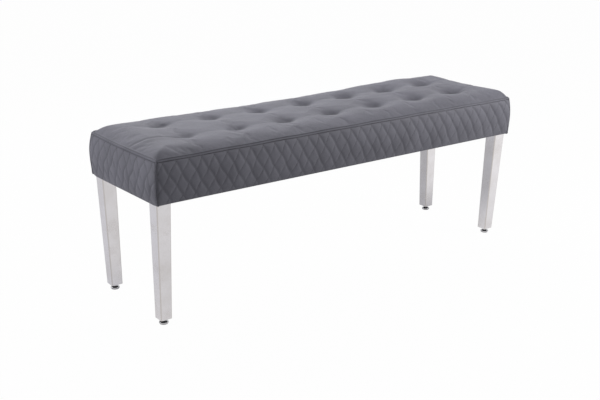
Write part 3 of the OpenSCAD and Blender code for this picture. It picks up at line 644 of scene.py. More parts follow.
def quilting_stitches(half_run, diamonds):
    """Start and end of the stitches down both slants, at shares of run and height."""
    low, high = 0.0035, band_height - strip_drop - 0.001
    slope = quilt_height / (2 * half_run / diamonds)
    line_length = math.hypot(high - low, (high - low) / slope)
    stitches = []
    for slant in (1, -1):
        for line in range(-4, diamonds + 5):
            for i in range(int(line_length / stitch_pitch)):
                ends = []
                for reach in (i * stitch_pitch, i * stitch_pitch + stitch_length):
                    level = low + (high - low) * reach / line_length
                    w = (level - first_crossing) / quilt_height
                    u = line - slant * w
                    u = u - line_wander(u, w, diamonds)
                    ends.append((2 * u / diamonds - 1, level / band_height))
                if all(half_run * (1 - abs(along)) > 0.005 for along, up in ends):
                    stitches.append(ends)
    return np.array(stitches)


def quilted_band(name, half_run, half_out, bow, diamonds, angle, seed, slants, ends_at):
    """One band with its threads; angle turns it from the front to its side."""
    shares = [corner_shares[corner] for corner in ends_at]
    c, s = math.cos(angle), math.sin(angle)

    def slack_there(along):
        x, y = along * half_run, -half_out
        return slack(x * c - y * s, x * s + y * c)

    steps = 7
    along = np.linspace(-1, 1, diamonds * 2 * steps + 1)
    levels = [0.0, 0.0015, 0.003, 0.005, 0.008, 0.0115, 0.015]
    levels += list(np.linspace(first_crossing, first_crossing + 1.5 * quilt_height, 3 * steps + 1))
    levels += [0.1122, 0.1136, 0.1145, 0.1150, 0.1154, 0.1158, 0.1164, 0.1180, band_height]
    a, t = np.meshgrid(along, np.array(levels) / band_height)
    pillow, nearness = quilt_pillow(a, t, half_run, diamonds, slants)
    seam_groove = hump((1 - t) * band_height, strip_drop, 0.0009)
    side_groove = hump(half_run * (1 - abs(a)), 0.0042, 0.0016)
    height = pillow - groove_depth * seam_groove - groove_depth * side_groove
    front = band_surface(a, t, half_run, half_out, bow, height, seed, slack_there, shares)
    columns, rows = len(along), len(levels)
    # The band is closed behind by a flat back that is let in between its edges
    let_in, tuck, seam_drop = 0.014, 0.014, 0.0006
    back_y, back_x, back_z = -half_out + let_in, half_run - tuck, seam_z - seam_drop
    back = np.array([[-back_x, back_y, band_foot_z], [back_x, back_y, band_foot_z],
                     [back_x, back_y, back_z], [-back_x, back_y, back_z]])
    first = columns * rows
    faces = grid_faces(columns, rows)
    closing = [
        [first, first + 1] + list(range(columns - 1, -1, -1)),
        [first + 2, first + 3] + list(range((rows - 1) * columns, rows * columns)),
        [first + 3, first] + [r * columns for r in range(rows)],
        [first + 1, first + 2] + [r * columns + columns - 1 for r in range(rows - 1, -1, -1)],
        [first, first + 3, first + 2, first + 1],
    ]
    points = turned(np.concatenate([front.reshape(-1, 3), back]), angle)
    band = new_piece(f"quilted_{name}_leather", points, faces + closing, cover_leather, len(faces))
    # Painted shade darkens the leather along the quilting and in the grooves beside the strips
    top_painted_shade = 0.7 * seam_painted_shade(points[:first, 0].reshape(a.shape)) * seam_groove
    pulled = np.clip(0.5 * nearness + top_painted_shade + 0.35 * side_groove, 0, 1)
    mark(band, "pulled", np.concatenate([pulled.ravel(), np.zeros(len(back))]))
    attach(band, "bench")
    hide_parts(f"side_{name}")
    ends = quilting_stitches(half_run, diamonds)
    deep, _ = quilt_pillow(ends[..., 0], ends[..., 1], half_run, diamonds, slants)
    spots = band_surface(ends[..., 0], ends[..., 1], half_run, half_out, bow, deep, seed,
                         slack_there, shares)
    outward = np.tile([0.0, -1.0, 0.0], (len(spots), 1))
    points, faces = threads(list(zip(spots[:, 0], spots[:, 1], outward)), 0.0003, 4)
    sewn = new_piece(f"quilting_thread_{name}", turned(points, angle), faces, thread)
    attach(sewn, "bench")


# Of the two slants, the second is fainter on the long bands and the first on the ends
long_slants, end_slants = (1.0, 0.5), (0.74, 1.0)
quilted_band("band_front", half_length, half_depth, side_bow, long_diamonds, 0.0, 11,
             long_slants, ("front_left", "front_right"))
quilted_band("band_back", half_length, half_depth, side_bow, long_diamonds, math.pi, 12,
             long_slants, ("back_right", "back_left"))
quilted_band("band_left", half_depth, half_length, end_bow, end_diamonds, -math.pi / 2, 13,
             end_slants, ("back_left", "front_left"))
quilted_band("band_right", half_depth, half_length, end_bow, end_diamonds, math.pi / 2, 14,
             end_slants, ("front_right", "back_right"))


# Seam strips: top panel and bands are joined by a flat seam, a narrow raised
# strip of folded leather between two rows of stitches. One strip goes round
# the top, and one runs down each corner.
corners = {"front_left": (-1, -1), "front_right": (1, -1),
           "back_left": (-1, 1), "back_right": (1, 1)}
groove_low, groove_high = (0.0014, -strip_drop), (-0.0016, 0.0008)
top_strip_proud, corner_strip_proud, corner_groove = 0.0004, 0.0019, 0.0042


def strip_rings(path, outward, up, low, high, proud):
    """Rings of points along a path: a rounded strip between a low and a high groove."""
    steps, sunk, thick = 9, 0.0006, 0.003
    rings = []
    mid = ((low[0] + high[0]) / 2, (low[1] + high[1]) / 2)
    width = math.hypot(high[0] - low[0], high[1] - low[1])
    away = ((high[1] - low[1]) / width, -(high[0] - low[0]) / width)
    for k in range(steps):
        share = k / (steps - 1)
        lift = proud * math.sin(math.pi * share) ** 0.55 - (sunk if k in (0, steps - 1) else 0)
        o = low[0] + (high[0] - low[0]) * share + away[0] * lift
        z = low[1] + (high[1] - low[1]) * share + away[1] * lift
        rings.append(path + outward * o + up * z)
    rings.append(path + outward * (mid[0] - thick * away[0]) + up * (mid[1] - thick * away[1]))
    return np.stack(rings, 1)


def stitch_row(path, outward, up, groove, closed=True):
    """Start, end and lift of the stitches that follow a path in its groove."""
    line = path + outward * groove[0] + up * groove[1]
    if closed:
        line = np.concatenate([line, line[:1]])
        outward = np.concatenate([outward, outward[:1]])
    lengths = np.concatenate([[0], np.cumsum(np.linalg.norm(np.diff(line, axis=0), axis=1))])
    count = int(lengths[-1] / stitch_pitch)
    starts = np.arange(count) * (lengths[-1] / count)

    def read(field, reach):
        return np.stack([np.interp(reach, lengths, field[:, k]) for k in range(3)], -1)

    lift = read(outward, starts) + 0.6 * np.array([0, 0, 1.0])
    lift /= np.linalg.norm(lift, axis=1, keepdims=True)
    return list(zip(read(line, starts), read(line, starts + stitch_length), lift))


def top_seam():
    """Points of the seam round the top, anticlockwise, with outward headings."""
    radius, step = 0.007, 0.0023
    points, out = [], []
    quarters = [(1, -1, -90), (1, 1, 0), (-1, 1, 90), (-1, -1, 180)]
    corner_x, corner_y = half_length - seam_inset - radius, half_depth - seam_inset - radius
    for (sx, sy, begin), (nx, ny, _) in zip(quarters, quarters[1:] + quarters[:1]):
        for k in range(7):
            turn = math.radians(begin + 15 * k)
            points.append([sx * corner_x + radius * math.cos(turn),
                           sy * corner_y + radius * math.sin(turn)])
            out.append([math.cos(turn), math.sin(turn)])
        length = math.hypot((nx - sx) * corner_x, (ny - sy) * corner_y)
        steps = int(length / step)
        last, heading = np.array(points[-1]), np.array(out[-1])
        goal = np.array([nx * corner_x, ny * corner_y]) + heading * radius
        for k in range(1, steps):
            share = k / steps
            bow = (side_bow if abs(heading[1]) > 0.5 else end_bow) * (1 - (2 * share - 1) ** 2)
            points.append((last + (goal - last) * share + heading * bow).tolist())
            out.append(heading.tolist())
    points, out = np.array(points), np.array(out)
    u = np.clip(points[:, 0] / (half_length - seam_inset), -1, 1)
    v = np.clip(points[:, 1] / (half_depth - seam_inset), -1, 1)
    z = seam_height(u, v)
    return np.column_stack([points, z]), np.column_stack([out, np.zeros(len(out))])


def strip_piece(name, rings, outside_in, painted_edge_shade):
    """A strip's piece, darker along its two edges than on its back, as painted shade in the
    grooves.
    """
    count, wide = rings.shape[:2]
    faces = []
    for a in range(wide):
        b = (a + 1) % wide
        for i in range(count - 1):
            quad = [i * wide + a, (i + 1) * wide + a, (i + 1) * wide + b, i * wide + b]
            faces.append(quad[::-1] if outside_in else quad)
    strip = new_piece(name, rings.reshape(-1, 3), faces, cover_leather)
    edge_share = np.abs(np.arange(wide) / (wide - 2) * 2 - 1)
    mark(strip, "pulled", np.tile(np.clip(edge_share, 0, 1) ** 4, count) * painted_edge_shade)
    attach(strip, "bench")


seam_path, seam_out = top_seam()
seam_up = np.tile([0.0, 0.0, 1.0], (len(seam_path), 1))
rings = strip_rings(seam_path, seam_out, seam_up, groove_low, groove_high, top_strip_proud)
rings = np.concatenate([rings, rings[:1]])
# The strip's edges get the seam's painted shade
strip_piece("top_seam_strip", rings, False, seam_painted_shade(rings[..., 0].ravel()))
rows_of_thread = stitch_row(seam_path, seam_out, seam_up, groove_low)
rows_of_thread += stitch_row(seam_path, seam_out, seam_up, groove_high)

for name, (sx, sy) in corners.items():
    t = np.linspace(0.012, 0.985, 60)
    offset = corner_out(corner_shares[name], t) - turned_under(t)
    foot_hang, seam_hang = slack(sx * half_length, sy * half_depth)
    path = np.stack([sx * (half_length + offset), sy * (half_depth + offset),
                     band_foot_z + t * band_height - foot_hang * (1 - t) - seam_hang * t], -1)
    along_x = np.tile([float(sx), 0.0, 0.0], (len(t), 1))
    along_y = np.tile([0.0, float(sy), 0.0], (len(t), 1))
    rings = strip_rings(path, along_x, along_y, (0.0, -corner_groove), (-corner_groove, 0.0),
                        corner_strip_proud)
    # The corner strips' edges carry half-strength painted shade
    strip_piece(f"corner_seam_strip_{name}", rings, sx * sy < 0, 0.5)
    for groove in ((0.0002, -corner_groove), (-corner_groove, 0.0002)):
        for begin, end, _ in stitch_row(path, along_x, along_y, groove, closed=False):
            rows_of_thread.append((begin, end, np.array([sx, sy, 0]) / math.sqrt(2)))

# A short crossed stitch ties the leather down at the bottom of each tuft
for x in tuft_xs:
    for y in tuft_ys:
        nearest = np.hypot(px - x, py - y).argmin()
        z = top.reshape(-1, 3)[nearest, 2] + 0.0002
        for dx, dy in ((0.0030, 0.0012), (0.0012, -0.0030)):
            rows_of_thread.append((np.array([x - dx, y - dy, z]), np.array([x + dx, y + dy, z]),
                                   np.array([0.0, 0.0, 1.0])))
points, faces = threads(rows_of_thread, 0.0004, 5)
seam_thread = new_piece("seam_thread", points, faces, thread)
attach(seam_thread, "bench")


# Legs: tapered square tubes of brushed and lightly polished stainless steel,
# folded with rounded arrises and welded to a plate under the seat. Fine lines
# run along them, and handling leaves soft smudges.
leg_top, leg_foot, leg_wall = 0.042, 0.034, 0.0015
leg_top_z, leg_end_z = band_foot_z, 0.016
leg_inset_x, leg_inset_y, leg_rake_x, leg_rake_y = 0.0025, 0.0095, 0.009, 0.016
leg_arris, arris_steps = 0.003, 5

smudge, smudge_in, smudge_out = node_group(
    "brushed_lines", [("Place", VECTOR, (0, 0, 0)), ("Lines", FLOAT, 1200), ("Length", FLOAT, 9)],
    [("Lines", FLOAT), ("Smudges", FLOAT)])
stretch = add_node(smudge, "ShaderNodeCombineXYZ")
for socket, source in (("X", "Lines"), ("Y", "Lines"), ("Z", "Length")):
    smudge.links.new(smudge_in.outputs[source], stretch.inputs[socket])
drawn = add_node(smudge, "ShaderNodeVectorMath", operation="MULTIPLY")
smudge.links.new(smudge_in.outputs["Place"], drawn.inputs[0])
smudge.links.new(stretch.outputs[0], drawn.inputs[1])
lines = add_node(smudge, "ShaderNodeTexNoise", Scale=1, Detail=3, Roughness=0.6)
smudge.links.new(drawn.outputs[0], lines.inputs["Vector"])
smudge.links.new(lines.outputs["Fac"], smudge_out.inputs["Lines"])
blots = add_node(smudge, "ShaderNodeTexNoise", Scale=14, Detail=5, Roughness=0.55, Distortion=0.4)
smudge.links.new(smudge_in.outputs["Place"], blots.inputs["Vector"])
blot = add_node(smudge, "ShaderNodeMapRange", interpolation_type="SMOOTHSTEP")
blot.inputs["From Min"].default_value = 0.48
blot.inputs["From Max"].default_value = 0.68
smudge.links.new(blots.outputs["Fac"], blot.inputs["Value"])
smudge.links.new(blot.outputs["Result"], smudge_out.inputs["Smudges"])


def brushed_metal(name, tone, darker, roughness, spread, line_depth, lines_per_metre, length,
                  dulled=None):
    """Steel with drawn lines in its roughness and relief, and soft smudges."""
    material, tree, shader, place = new_material(name, Metallic=1.0)
    worn = add_group(tree, smudge, place, Lines=lines_per_metre, Length=length)
    colour = add_group(tree, dye, place, Patches_per_metre=16, Tone=tone, Darker_tone=darker)
    depth = add_math(tree, "MULTIPLY", worn.outputs["Smudges"], 0.3)
    if dulled:
        rubbed = add_node(tree, "ShaderNodeAttribute", attribute_name=dulled)
        depth = add_math(tree, "MULTIPLY_ADD", rubbed.outputs["Fac"], 0.9, depth)
    tree.links.new(depth, colour.inputs["Depth"])
    tree.links.new(colour.outputs["Color"], shader.inputs["Base Color"])
    base = add_math(tree, "MULTIPLY_ADD", worn.outputs["Lines"], spread, roughness - spread / 2)
    tree.links.new(add_math(tree, "MULTIPLY_ADD", worn.outputs["Smudges"], 0.08, base),
                   shader.inputs["Roughness"])
    add_bump(tree, shader, worn.outputs["Lines"], line_depth, 0.5)
    return material


leg_steel = brushed_metal("brushed_leg_steel", (0.87, 0.865, 0.89, 1), (0.68, 0.655, 0.64, 1),
                          0.22, 0.08, 0.000005, 1500, 6, "rubbed")


def leg_ring(height, shrink, sx, sy):
    """The tube's outline at a height, drawn in by its wall where asked."""
    down = (leg_top_z - height) / (leg_top_z - leg_end_z)
    side = leg_top + (leg_foot - leg_top) * down
    cx = half_length - leg_inset_x - leg_rake_x * down - side / 2
    cy = half_depth - leg_inset_y - leg_rake_y * down - side / 2
    radius = leg_arris - shrink * 0.8
    half = side / 2 - shrink - radius
    ring = []
    for k, (qx, qy) in enumerate(((1, 1), (-1, 1), (-1, -1), (1, -1))):
        for i in range(arris_steps + 1):
            turn = math.radians(90 * (k + i / arris_steps))
            ring.append([sx * (cx + qx * half + radius * math.cos(turn)),
                         sy * (cy + qy * half + radius * math.sin(turn)), height])
    return ring


for name, (sx, sy) in corners.items():
    outer = [leg_end_z, leg_end_z + 0.0004] + list(np.linspace(leg_end_z + 0.004, leg_top_z, 24))
    rings = [leg_ring(h, 0.0003 if h == leg_end_z else 0, sx, sy) for h in outer]
    rings += [leg_ring(h, leg_wall, sx, sy) for h in (leg_top_z, leg_end_z + 0.0002)]
    count = len(rings[0])
    faces = []
    for r in range(len(rings)):
        for i in range(count):
            k = (i + 1) % count
            a, b = r * count, ((r + 1) % len(rings)) * count
            quad = [a + i, a + k, b + k, b + i]
            faces.append(quad if sx * sy > 0 else quad[::-1])
    points = np.concatenate(rings)
    leg = new_piece(f"steel_leg_{name}", points, faces, leg_steel)
    leg.data.set_sharp_from_angle(angle=math.radians(50))
    # Only the rounded arrises count as rubbed, not the flat faces between them
    mark(leg, "rubbed", [0 < i % (arris_steps + 1) < arris_steps for i in range(len(points))])
    weighted = leg.modifiers.new("flat faces stay flat", "WEIGHTED_NORMAL")
    weighted.keep_sharp = True
    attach(leg, "bench")
    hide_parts(f"leg_{name}")


# Levelling feet: turned and chromed bases on nylon pads, each with a threaded
# stud and a hexagon to turn it by. The pad carries the bench on the floor.
foot_x, foot_y = 0.6215, 0.145
chrome = brushed_metal("foot_chrome", (0.62, 0.62, 0.64, 1), (0.42, 0.42, 0.44, 1),
                       0.14, 0.05, 0.000004, 500, 500)
nylon, tree, shader, place = new_material("black_nylon", Roughness=0.42)
tint = add_group(tree, dye, place, Patches_per_metre=120, Tone=(0.028, 0.028, 0.030, 1),
                 Darker_tone=(0.045, 0.044, 0.044, 1))
tree.links.new(tint.outputs["Color"], shader.inputs["Base Color"])
moulded = add_group(tree, grain, place, Cells_per_metre=2400, Creasing=0.4)
add_bump(tree, shader, moulded.outputs["Height"], 0.00003, 0.6)


def end_caps(first, sides, rings):
    """The two end faces of a stack of rings whose points begin at first."""
    last = first + (rings - 1) * sides
    return [[first + k for k in range(sides)][::-1], [last + k for k in range(sides)]]


def turned_piece(name, profile, x, y, material):
    """A lathe-turned piece; the profile lists radius and height, from below."""
    sides = 64
    turn = np.arange(sides) * 2 * np.pi / sides
    ring = np.stack([np.cos(turn), np.sin(turn)], -1)
    points = np.concatenate([
        np.column_stack([x + r * ring[:, 0], y + r * ring[:, 1], np.full(sides, z)])
        for r, z in profile])
    faces = grid_faces(sides, len(profile), closed=True) + end_caps(0, sides, len(profile))
    piece = new_piece(name, points, faces, material)
    piece.data.set_sharp_from_angle(angle=math.radians(40))
    return piece


def rounded_profile(points, radius):
    """The same outline with its corners eased by that radius."""
    steps = 4
    points = [np.array(p, float) for p in points]
    out = [points[0]]
    for before, here, after in zip(points, points[1:], points[2:]):
        a, b = before - here, after - here
        reach = min(radius, np.linalg.norm(a) * 0.45, np.linalg.norm(b) * 0.45)
        p, q = here + a / np.linalg.norm(a) * reach, here + b / np.linalg.norm(b) * reach
        for k in range(steps + 1):
            s = k / steps
            out.append((1 - s) ** 2 * p + 2 * s * (1 - s) * here + s ** 2 * q)
    return out + [points[-1]]


# Outlines as radius and height, from below
base_outline = rounded_profile(
    [(0.0112, 0.0015), (0.013, 0.0020), (0.013, 0.0057), (0.0118, 0.0064), (0.0088, 0.0078),
     (0.0068, 0.0090), (0.0050, 0.0090), (0.00406, 0.0086), (0.00406, 0.0039)], 0.0006)
pad_outline = rounded_profile(
    [(0.0108, 0.0), (0.0115, 0.0003), (0.0115, 0.00149), (0.0111, 0.0015)], 0.0003)
core_outline = [(0.00395, 0.0038), (0.00395, 0.0093), (0.00385, 0.0093), (0.00385, 0.0132),
                (0.0034, 0.0134), (0.0033, 0.0548), (0.0028, 0.0550)]
hexagon_levels = [(0.0093, 0.94), (0.0096, 1.0), (0.0125, 1.0), (0.0128, 0.94)]
hexagon_radius = 0.0064 / math.cos(math.radians(30))
thread_pitch, thread_begin, thread_end = 0.00125, 0.0132, 0.0548
thread_root, thread_depth, stud_sides = 0.0034, 0.0006, 24


def ring_around(x, y, radius, z, sides):
    """Points of a level ring round a foot's middle."""
    turns = [2 * math.pi * k / sides for k in range(sides)]
    return [[x + radius * math.cos(turn), y + radius * math.sin(turn), z] for turn in turns]


def cut_thread(x, y):
    """Points and faces of a right-handed thread, fading in and out at its ends."""
    total = int((thread_end - thread_begin) / thread_pitch * stud_sides)
    points, faces = [], []
    for i in range(total + 1):
        turn = 2 * math.pi * i / stud_sides
        z = thread_begin + thread_pitch * i / stud_sides
        taper = min(1, (total - i) / stud_sides / 1.5, i / stud_sides + 0.2)
        crest = thread_root + thread_depth * taper
        for radius, rise in ((thread_root, 0.0), (crest, 0.45), (crest, 0.55)):
            points.append([x + radius * math.cos(turn), y + radius * math.sin(turn),
                           z + rise * thread_pitch])
    for i in range(total):
        a = 3 * i
        faces += [[a, a + 3, a + 4, a + 1], [a + 1, a + 4, a + 5, a + 2]]
        if i + stud_sides <= total - 1:
            b = 3 * (i + stud_sides)
            faces.append([a + 2, a + 5, b + 3, b])
    return points, faces


for name, (sx, sy) in corners.items():
    x, y = sx * foot_x, sy * foot_y
    shell = turned_piece(f"foot_base_turned_{name}", base_outline, x, y, chrome)
    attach(shell, f"foot_{name}")
    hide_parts(f"foot_base_{name}")
    pad = turned_piece(f"foot_pad_moulded_{name}", pad_outline, x, y, nylon)
    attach(pad, f"foot_{name}")
    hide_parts(f"foot_pad_{name}")
    # The stud: its thread, its core and the hexagon
    points, faces = cut_thread(x, y)
    first = len(points)
    for radius, z in core_outline:
        points += ring_around(x, y, radius, z, stud_sides)
    faces += grid_faces(stud_sides, len(core_outline), first, closed=True)
    faces += end_caps(first, stud_sides, len(core_outline))
    first = len(points)
    for z, size in hexagon_levels:
        points += ring_around(x, y, size * hexagon_radius, z, 6)
    faces += grid_faces(6, len(hexagon_levels), first, closed=True)
    faces += end_caps(first, 6, len(hexagon_levels))
    stud = new_piece(f"threaded_stud_{name}", points, faces, chrome)
    stud.data.set_sharp_from_angle(angle=math.radians(35))
    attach(stud, f"stud_{name}")
    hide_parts(f"foot_stud_{name}")


# Under the seat: the cover's edge is turned in below the rails as a leather
# hem and stapled, and a black non-woven cloth is stretched over it.
inner_x, inner_y = 0.6357, 0.1732
hem_width, hem_thick, plate_side = 0.035, 0.0013, 0.1003
hem_z = band_foot_z + 0.0001


def thin_cloth(name, xs, ys, kept, under, top_side, material, sag):
    """A thin closed cloth over the kept cells of a net, its underside sagging."""
    columns, rows = len(xs), len(ys)
    gx, gy = np.meshgrid(xs, ys)
    drop = sag(gx, gy)
    points = np.concatenate([np.stack([gx, gy, under - drop], -1).reshape(-1, 3),
                             np.stack([gx, gy, top_side - drop], -1).reshape(-1, 3)])
    layer = columns * rows
    cells = {(r, c) for r in range(rows - 1) for c in range(columns - 1)
             if kept((xs[c] + xs[c + 1]) / 2, (ys[r] + ys[r + 1]) / 2)}
    faces = []
    for r, c in sorted(cells):
        a, b = r * columns + c, r * columns + c + 1
        d, e = a + columns, b + columns
        faces.append([a, d, e, b])
        faces.append([layer + a, layer + b, layer + e, layer + d])
        for (nr, nc), (i, k) in (((r - 1, c), (a, b)), ((r + 1, c), (e, d)),
                                 ((r, c - 1), (d, a)), ((r, c + 1), (b, e))):
            if (nr, nc) not in cells:
                faces.append([i, k, layer + k, layer + i])
    used = sorted({i for face in faces for i in face})
    place = {old: new for new, old in enumerate(used)}
    cloth = new_piece(name, points[used], [[place[i] for i in face] for face in faces], material)
    cloth.data.set_sharp_from_angle(angle=math.radians(50))
    return cloth


def spaced(stops, step):
    """Places along a line that include every stop, about one step apart."""
    places = [stops[0]]
    for a, b in zip(stops, stops[1:]):
        places += list(np.linspace(a, b, max(1, int(round((b - a) / step))) + 1)[1:])
    return places


hem_leather = leather("turned_under_leather")
hem_xs = spaced([-inner_x, -inner_x + hem_width, -inner_x + plate_side, inner_x - plate_side,
                 inner_x - hem_width, inner_x], 0.008)
hem_ys = spaced([-inner_y, -inner_y + hem_width, -inner_y + plate_side, inner_y - plate_side,
                 inner_y - hem_width, inner_y], 0.005)
hem = thin_cloth(
    "turned_under_hem", hem_xs, hem_ys,
    lambda x, y: ((abs(x) < inner_x - plate_side and abs(y) > inner_y - hem_width)
                  or (abs(y) < inner_y - plate_side and abs(x) > inner_x - hem_width)),
    hem_z, hem_z + hem_thick, hem_leather,
    lambda x, y: 0.00008 * np.cos(x * 210) * np.cos(y * 260))
# The whole hem gets a light even painted shade, as it lies under the seat
mark(hem, "pulled", np.full(len(hem.data.vertices), 0.2))
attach(hem, "bench")
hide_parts("cover_hem")

dust, tree, shader, place = new_material("black_nonwoven_cloth", Roughness=0.9, Sheen_Weight=0.25)
tint = add_group(tree, dye, place, Patches_per_metre=25, Tone=(0.022, 0.022, 0.024, 1),
                 Darker_tone=(0.038, 0.037, 0.036, 1))
tree.links.new(tint.outputs["Color"], shader.inputs["Base Color"])
dots = add_node(tree, "ShaderNodeTexVoronoi", Scale=520, Randomness=0.25)
tree.links.new(place, dots.inputs["Vector"])
add_bump(tree, shader, dots.outputs["Distance"], 0.00025, 0.8)
cloth_margin, notch, staple_pitch, cloth_drop = 0.009, 0.118, 0.0626, 0.0022
cloth_x, cloth_y = inner_x - cloth_margin, inner_y - cloth_margin
cloth_xs = spaced([-cloth_x, -inner_x + notch, inner_x - notch, cloth_x], 0.009)
cloth_ys = spaced([-cloth_y, -inner_y + notch, inner_y - notch, cloth_y], 0.008)


def dust_cloth_sag(x, y):
    """The cloth hangs a little between its stapled edges and puckers at the staples."""
    inward = np.minimum(cloth_x - abs(x), cloth_y - abs(y))
    inside = np.clip(inward / 0.12, 0, 1)
    pucker = 0.0003 * np.cos(2 * np.pi * x / staple_pitch) * hump(inward, 0.012, 0.02)
    return cloth_drop * np.sin(inside * np.pi / 2) ** 2 + pucker * inside ** 0.5


dust_cloth = thin_cloth(
    "stretched_dust_cloth", cloth_xs, cloth_ys,
    lambda x, y: abs(x) < inner_x - notch or abs(y) < inner_y - notch,
    band_foot_z - 0.0008, band_foot_z - 0.0002, dust, dust_cloth_sag)
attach(dust_cloth, "bench")
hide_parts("dust_cloth")


# Fixings: zinc-plated staples, screws, washers and nuts, the leg bolts and the
# plates that the legs are welded to. The legs' ends hold nylon plugs with
# threaded sleeves for the studs.
zinc = brushed_metal("zinc_plated_steel", (0.55, 0.56, 0.58, 1), (0.36, 0.37, 0.39, 1),
                     0.36, 0.18, 0.00002, 260, 240)


def finish_nodes(names, material, bevel=None):
    """Gives carried-over CAD solids their material, and eases their edges."""
    for name in names:
        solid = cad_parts[name]
        solid.data.materials.clear()
        solid.data.materials.append(material)
        if bevel:
            eased = solid.modifiers.new("eased edges", "BEVEL")
            eased.width = bevel
            eased.segments = 2
            eased.limit_method = "ANGLE"
            eased.angle_limit = math.radians(45)


finish_nodes(["staples", "deck_screws", "rail_screws", "tuft_washers", "tee_nuts"], zinc)
finish_nodes(["leg_bolts", "bolt_washers"], zinc, 0.0003)
finish_nodes([f"leg_plate_{corner}" for corner in corners], zinc, 0.0004)
finish_nodes([f"sleeve_{corner}" for corner in corners], zinc)
finish_nodes([f"leg_plug_{corner}" for corner in corners], nylon)


# Frame inside the cushion: softwood rails, braces and corner blocks, glued and
# screwed, and a birch plywood deck. All of it is left raw.
wood, wood_in, wood_out = node_group(
    "wood_grain", [("Place", VECTOR, (0, 0, 0)), ("Light tone", COLOUR, (0.6, 0.45, 0.27, 1)),
                   ("Dark tone", COLOUR, (0.42, 0.28, 0.15, 1)), ("Rings per metre", FLOAT, 60)],
    [("Color", COLOUR), ("Fibres", FLOAT)])
drawn = add_node(wood, "ShaderNodeVectorMath", operation="MULTIPLY")
drawn.inputs[1].default_value = (0.06, 1.0, 1.0)
wood.links.new(wood_in.outputs["Place"], drawn.inputs[0])
rings = add_node(wood, "ShaderNodeTexNoise", Detail=4, Roughness=0.5, Distortion=0.6)
wood.links.new(drawn.outputs[0], rings.inputs["Vector"])
wood.links.new(wood_in.outputs["Rings per metre"], rings.inputs["Scale"])
fibres = add_node(wood, "ShaderNodeTexNoise", Scale=900, Detail=3)
wood.links.new(drawn.outputs[0], fibres.inputs["Vector"])
shades = add_node(wood, "ShaderNodeMix", data_type="RGBA", clamp_factor=True)
ringed = add_node(wood, "ShaderNodeMapRange", interpolation_type="SMOOTHSTEP")
ringed.inputs["From Min"].default_value = 0.4
ringed.inputs["From Max"].default_value = 0.62
wood.links.new(rings.outputs["Fac"], ringed.inputs["Value"])
wood.links.new(add_math(wood, "MULTIPLY_ADD", fibres.outputs["Fac"], 0.3, ringed.outputs["Result"]),
               shades.inputs["Factor"])
wood.links.new(wood_in.outputs["Light tone"], shades.inputs["A"])
wood.links.new(wood_in.outputs["Dark tone"], shades.inputs["B"])
wood.links.new(shades.outputs["Result"], wood_out.inputs["Color"])
wood.links.new(fibres.outputs["Fac"], wood_out.inputs["Fibres"])


def raw_wood(name, light, dark, rings_per_metre):
    """Unfinished wood with drawn-out rings and fine fibres."""
    material, tree, shader, place = new_material(name, Roughness=0.72)
    grown = add_group(tree, wood, place, Light_tone=light, Dark_tone=dark,
                      Rings_per_metre=rings_per_metre)
    tree.links.new(grown.outputs["Color"], shader.inputs["Base Color"])
    add_bump(tree, shader, grown.outputs["Fibres"], 0.00015, 0.5)
    return material


softwood = raw_wood("raw_softwood", (0.66, 0.50, 0.31, 1), (0.50, 0.33, 0.18, 1), 55)
birch_ply = raw_wood("birch_plywood", (0.68, 0.54, 0.36, 1), (0.56, 0.41, 0.25, 1), 24)
finish_nodes([f"frame_rail_{side}" for side in ("front", "back", "left", "right")]
             + ["cross_brace_left", "cross_brace_right"]
             + [f"corner_block_{corner}" for corner in corners], softwood, 0.0012)
finish_nodes(["seat_deck"], birch_ply, 0.0006)


# Filling: a cut block of upholstery foam on the deck and a sheet of polyester
# wadding over it. Both are let in between the quilted bands.
def filling_block(name, node, foot_z, top_z, material, easing, unevenness, seed):
    """A soft block with rounded edges whose upper face is a little uneven."""
    play, cell = 0.0005, 0.012
    xs = spaced([-inner_x + play, inner_x - play], cell)
    ys = spaced([-inner_y + play, inner_y - play], cell)
    gx, gy = np.meshgrid(xs, ys)
    edge_run = np.minimum(inner_x - abs(gx), inner_y - abs(gy))
    ease = easing * (1 - np.sqrt(1 - np.clip(1 - edge_run / easing, 0, 1) ** 2))
    rough = unevenness * wander(np.stack([gx, gy], -1), 0.07, seed) * np.clip(edge_run / 0.02, 0, 1)
    columns, rows = len(xs), len(ys)
    upper = np.stack([gx, gy, top_z - ease - np.abs(rough)], -1).reshape(-1, 3)
    lower = np.stack([gx, gy, foot_z + ease], -1).reshape(-1, 3)
    faces = grid_faces(columns, rows)
    count = columns * rows
    faces += [[count + i for i in face[::-1]] for face in faces]
    rim = (list(range(columns)) + [r * columns + columns - 1 for r in range(1, rows)]
           + [(rows - 1) * columns + c for c in range(columns - 2, -1, -1)]
           + [r * columns for r in range(rows - 2, 0, -1)])
    faces += [[count + a, count + b, b, a] for a, b in zip(rim, rim[1:] + rim[:1])]
    piece = new_piece(name, np.concatenate([upper, lower]), faces, material)
    piece.data.set_sharp_from_angle(angle=math.radians(60))
    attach(piece, "bench")
    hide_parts(node)
    return piece


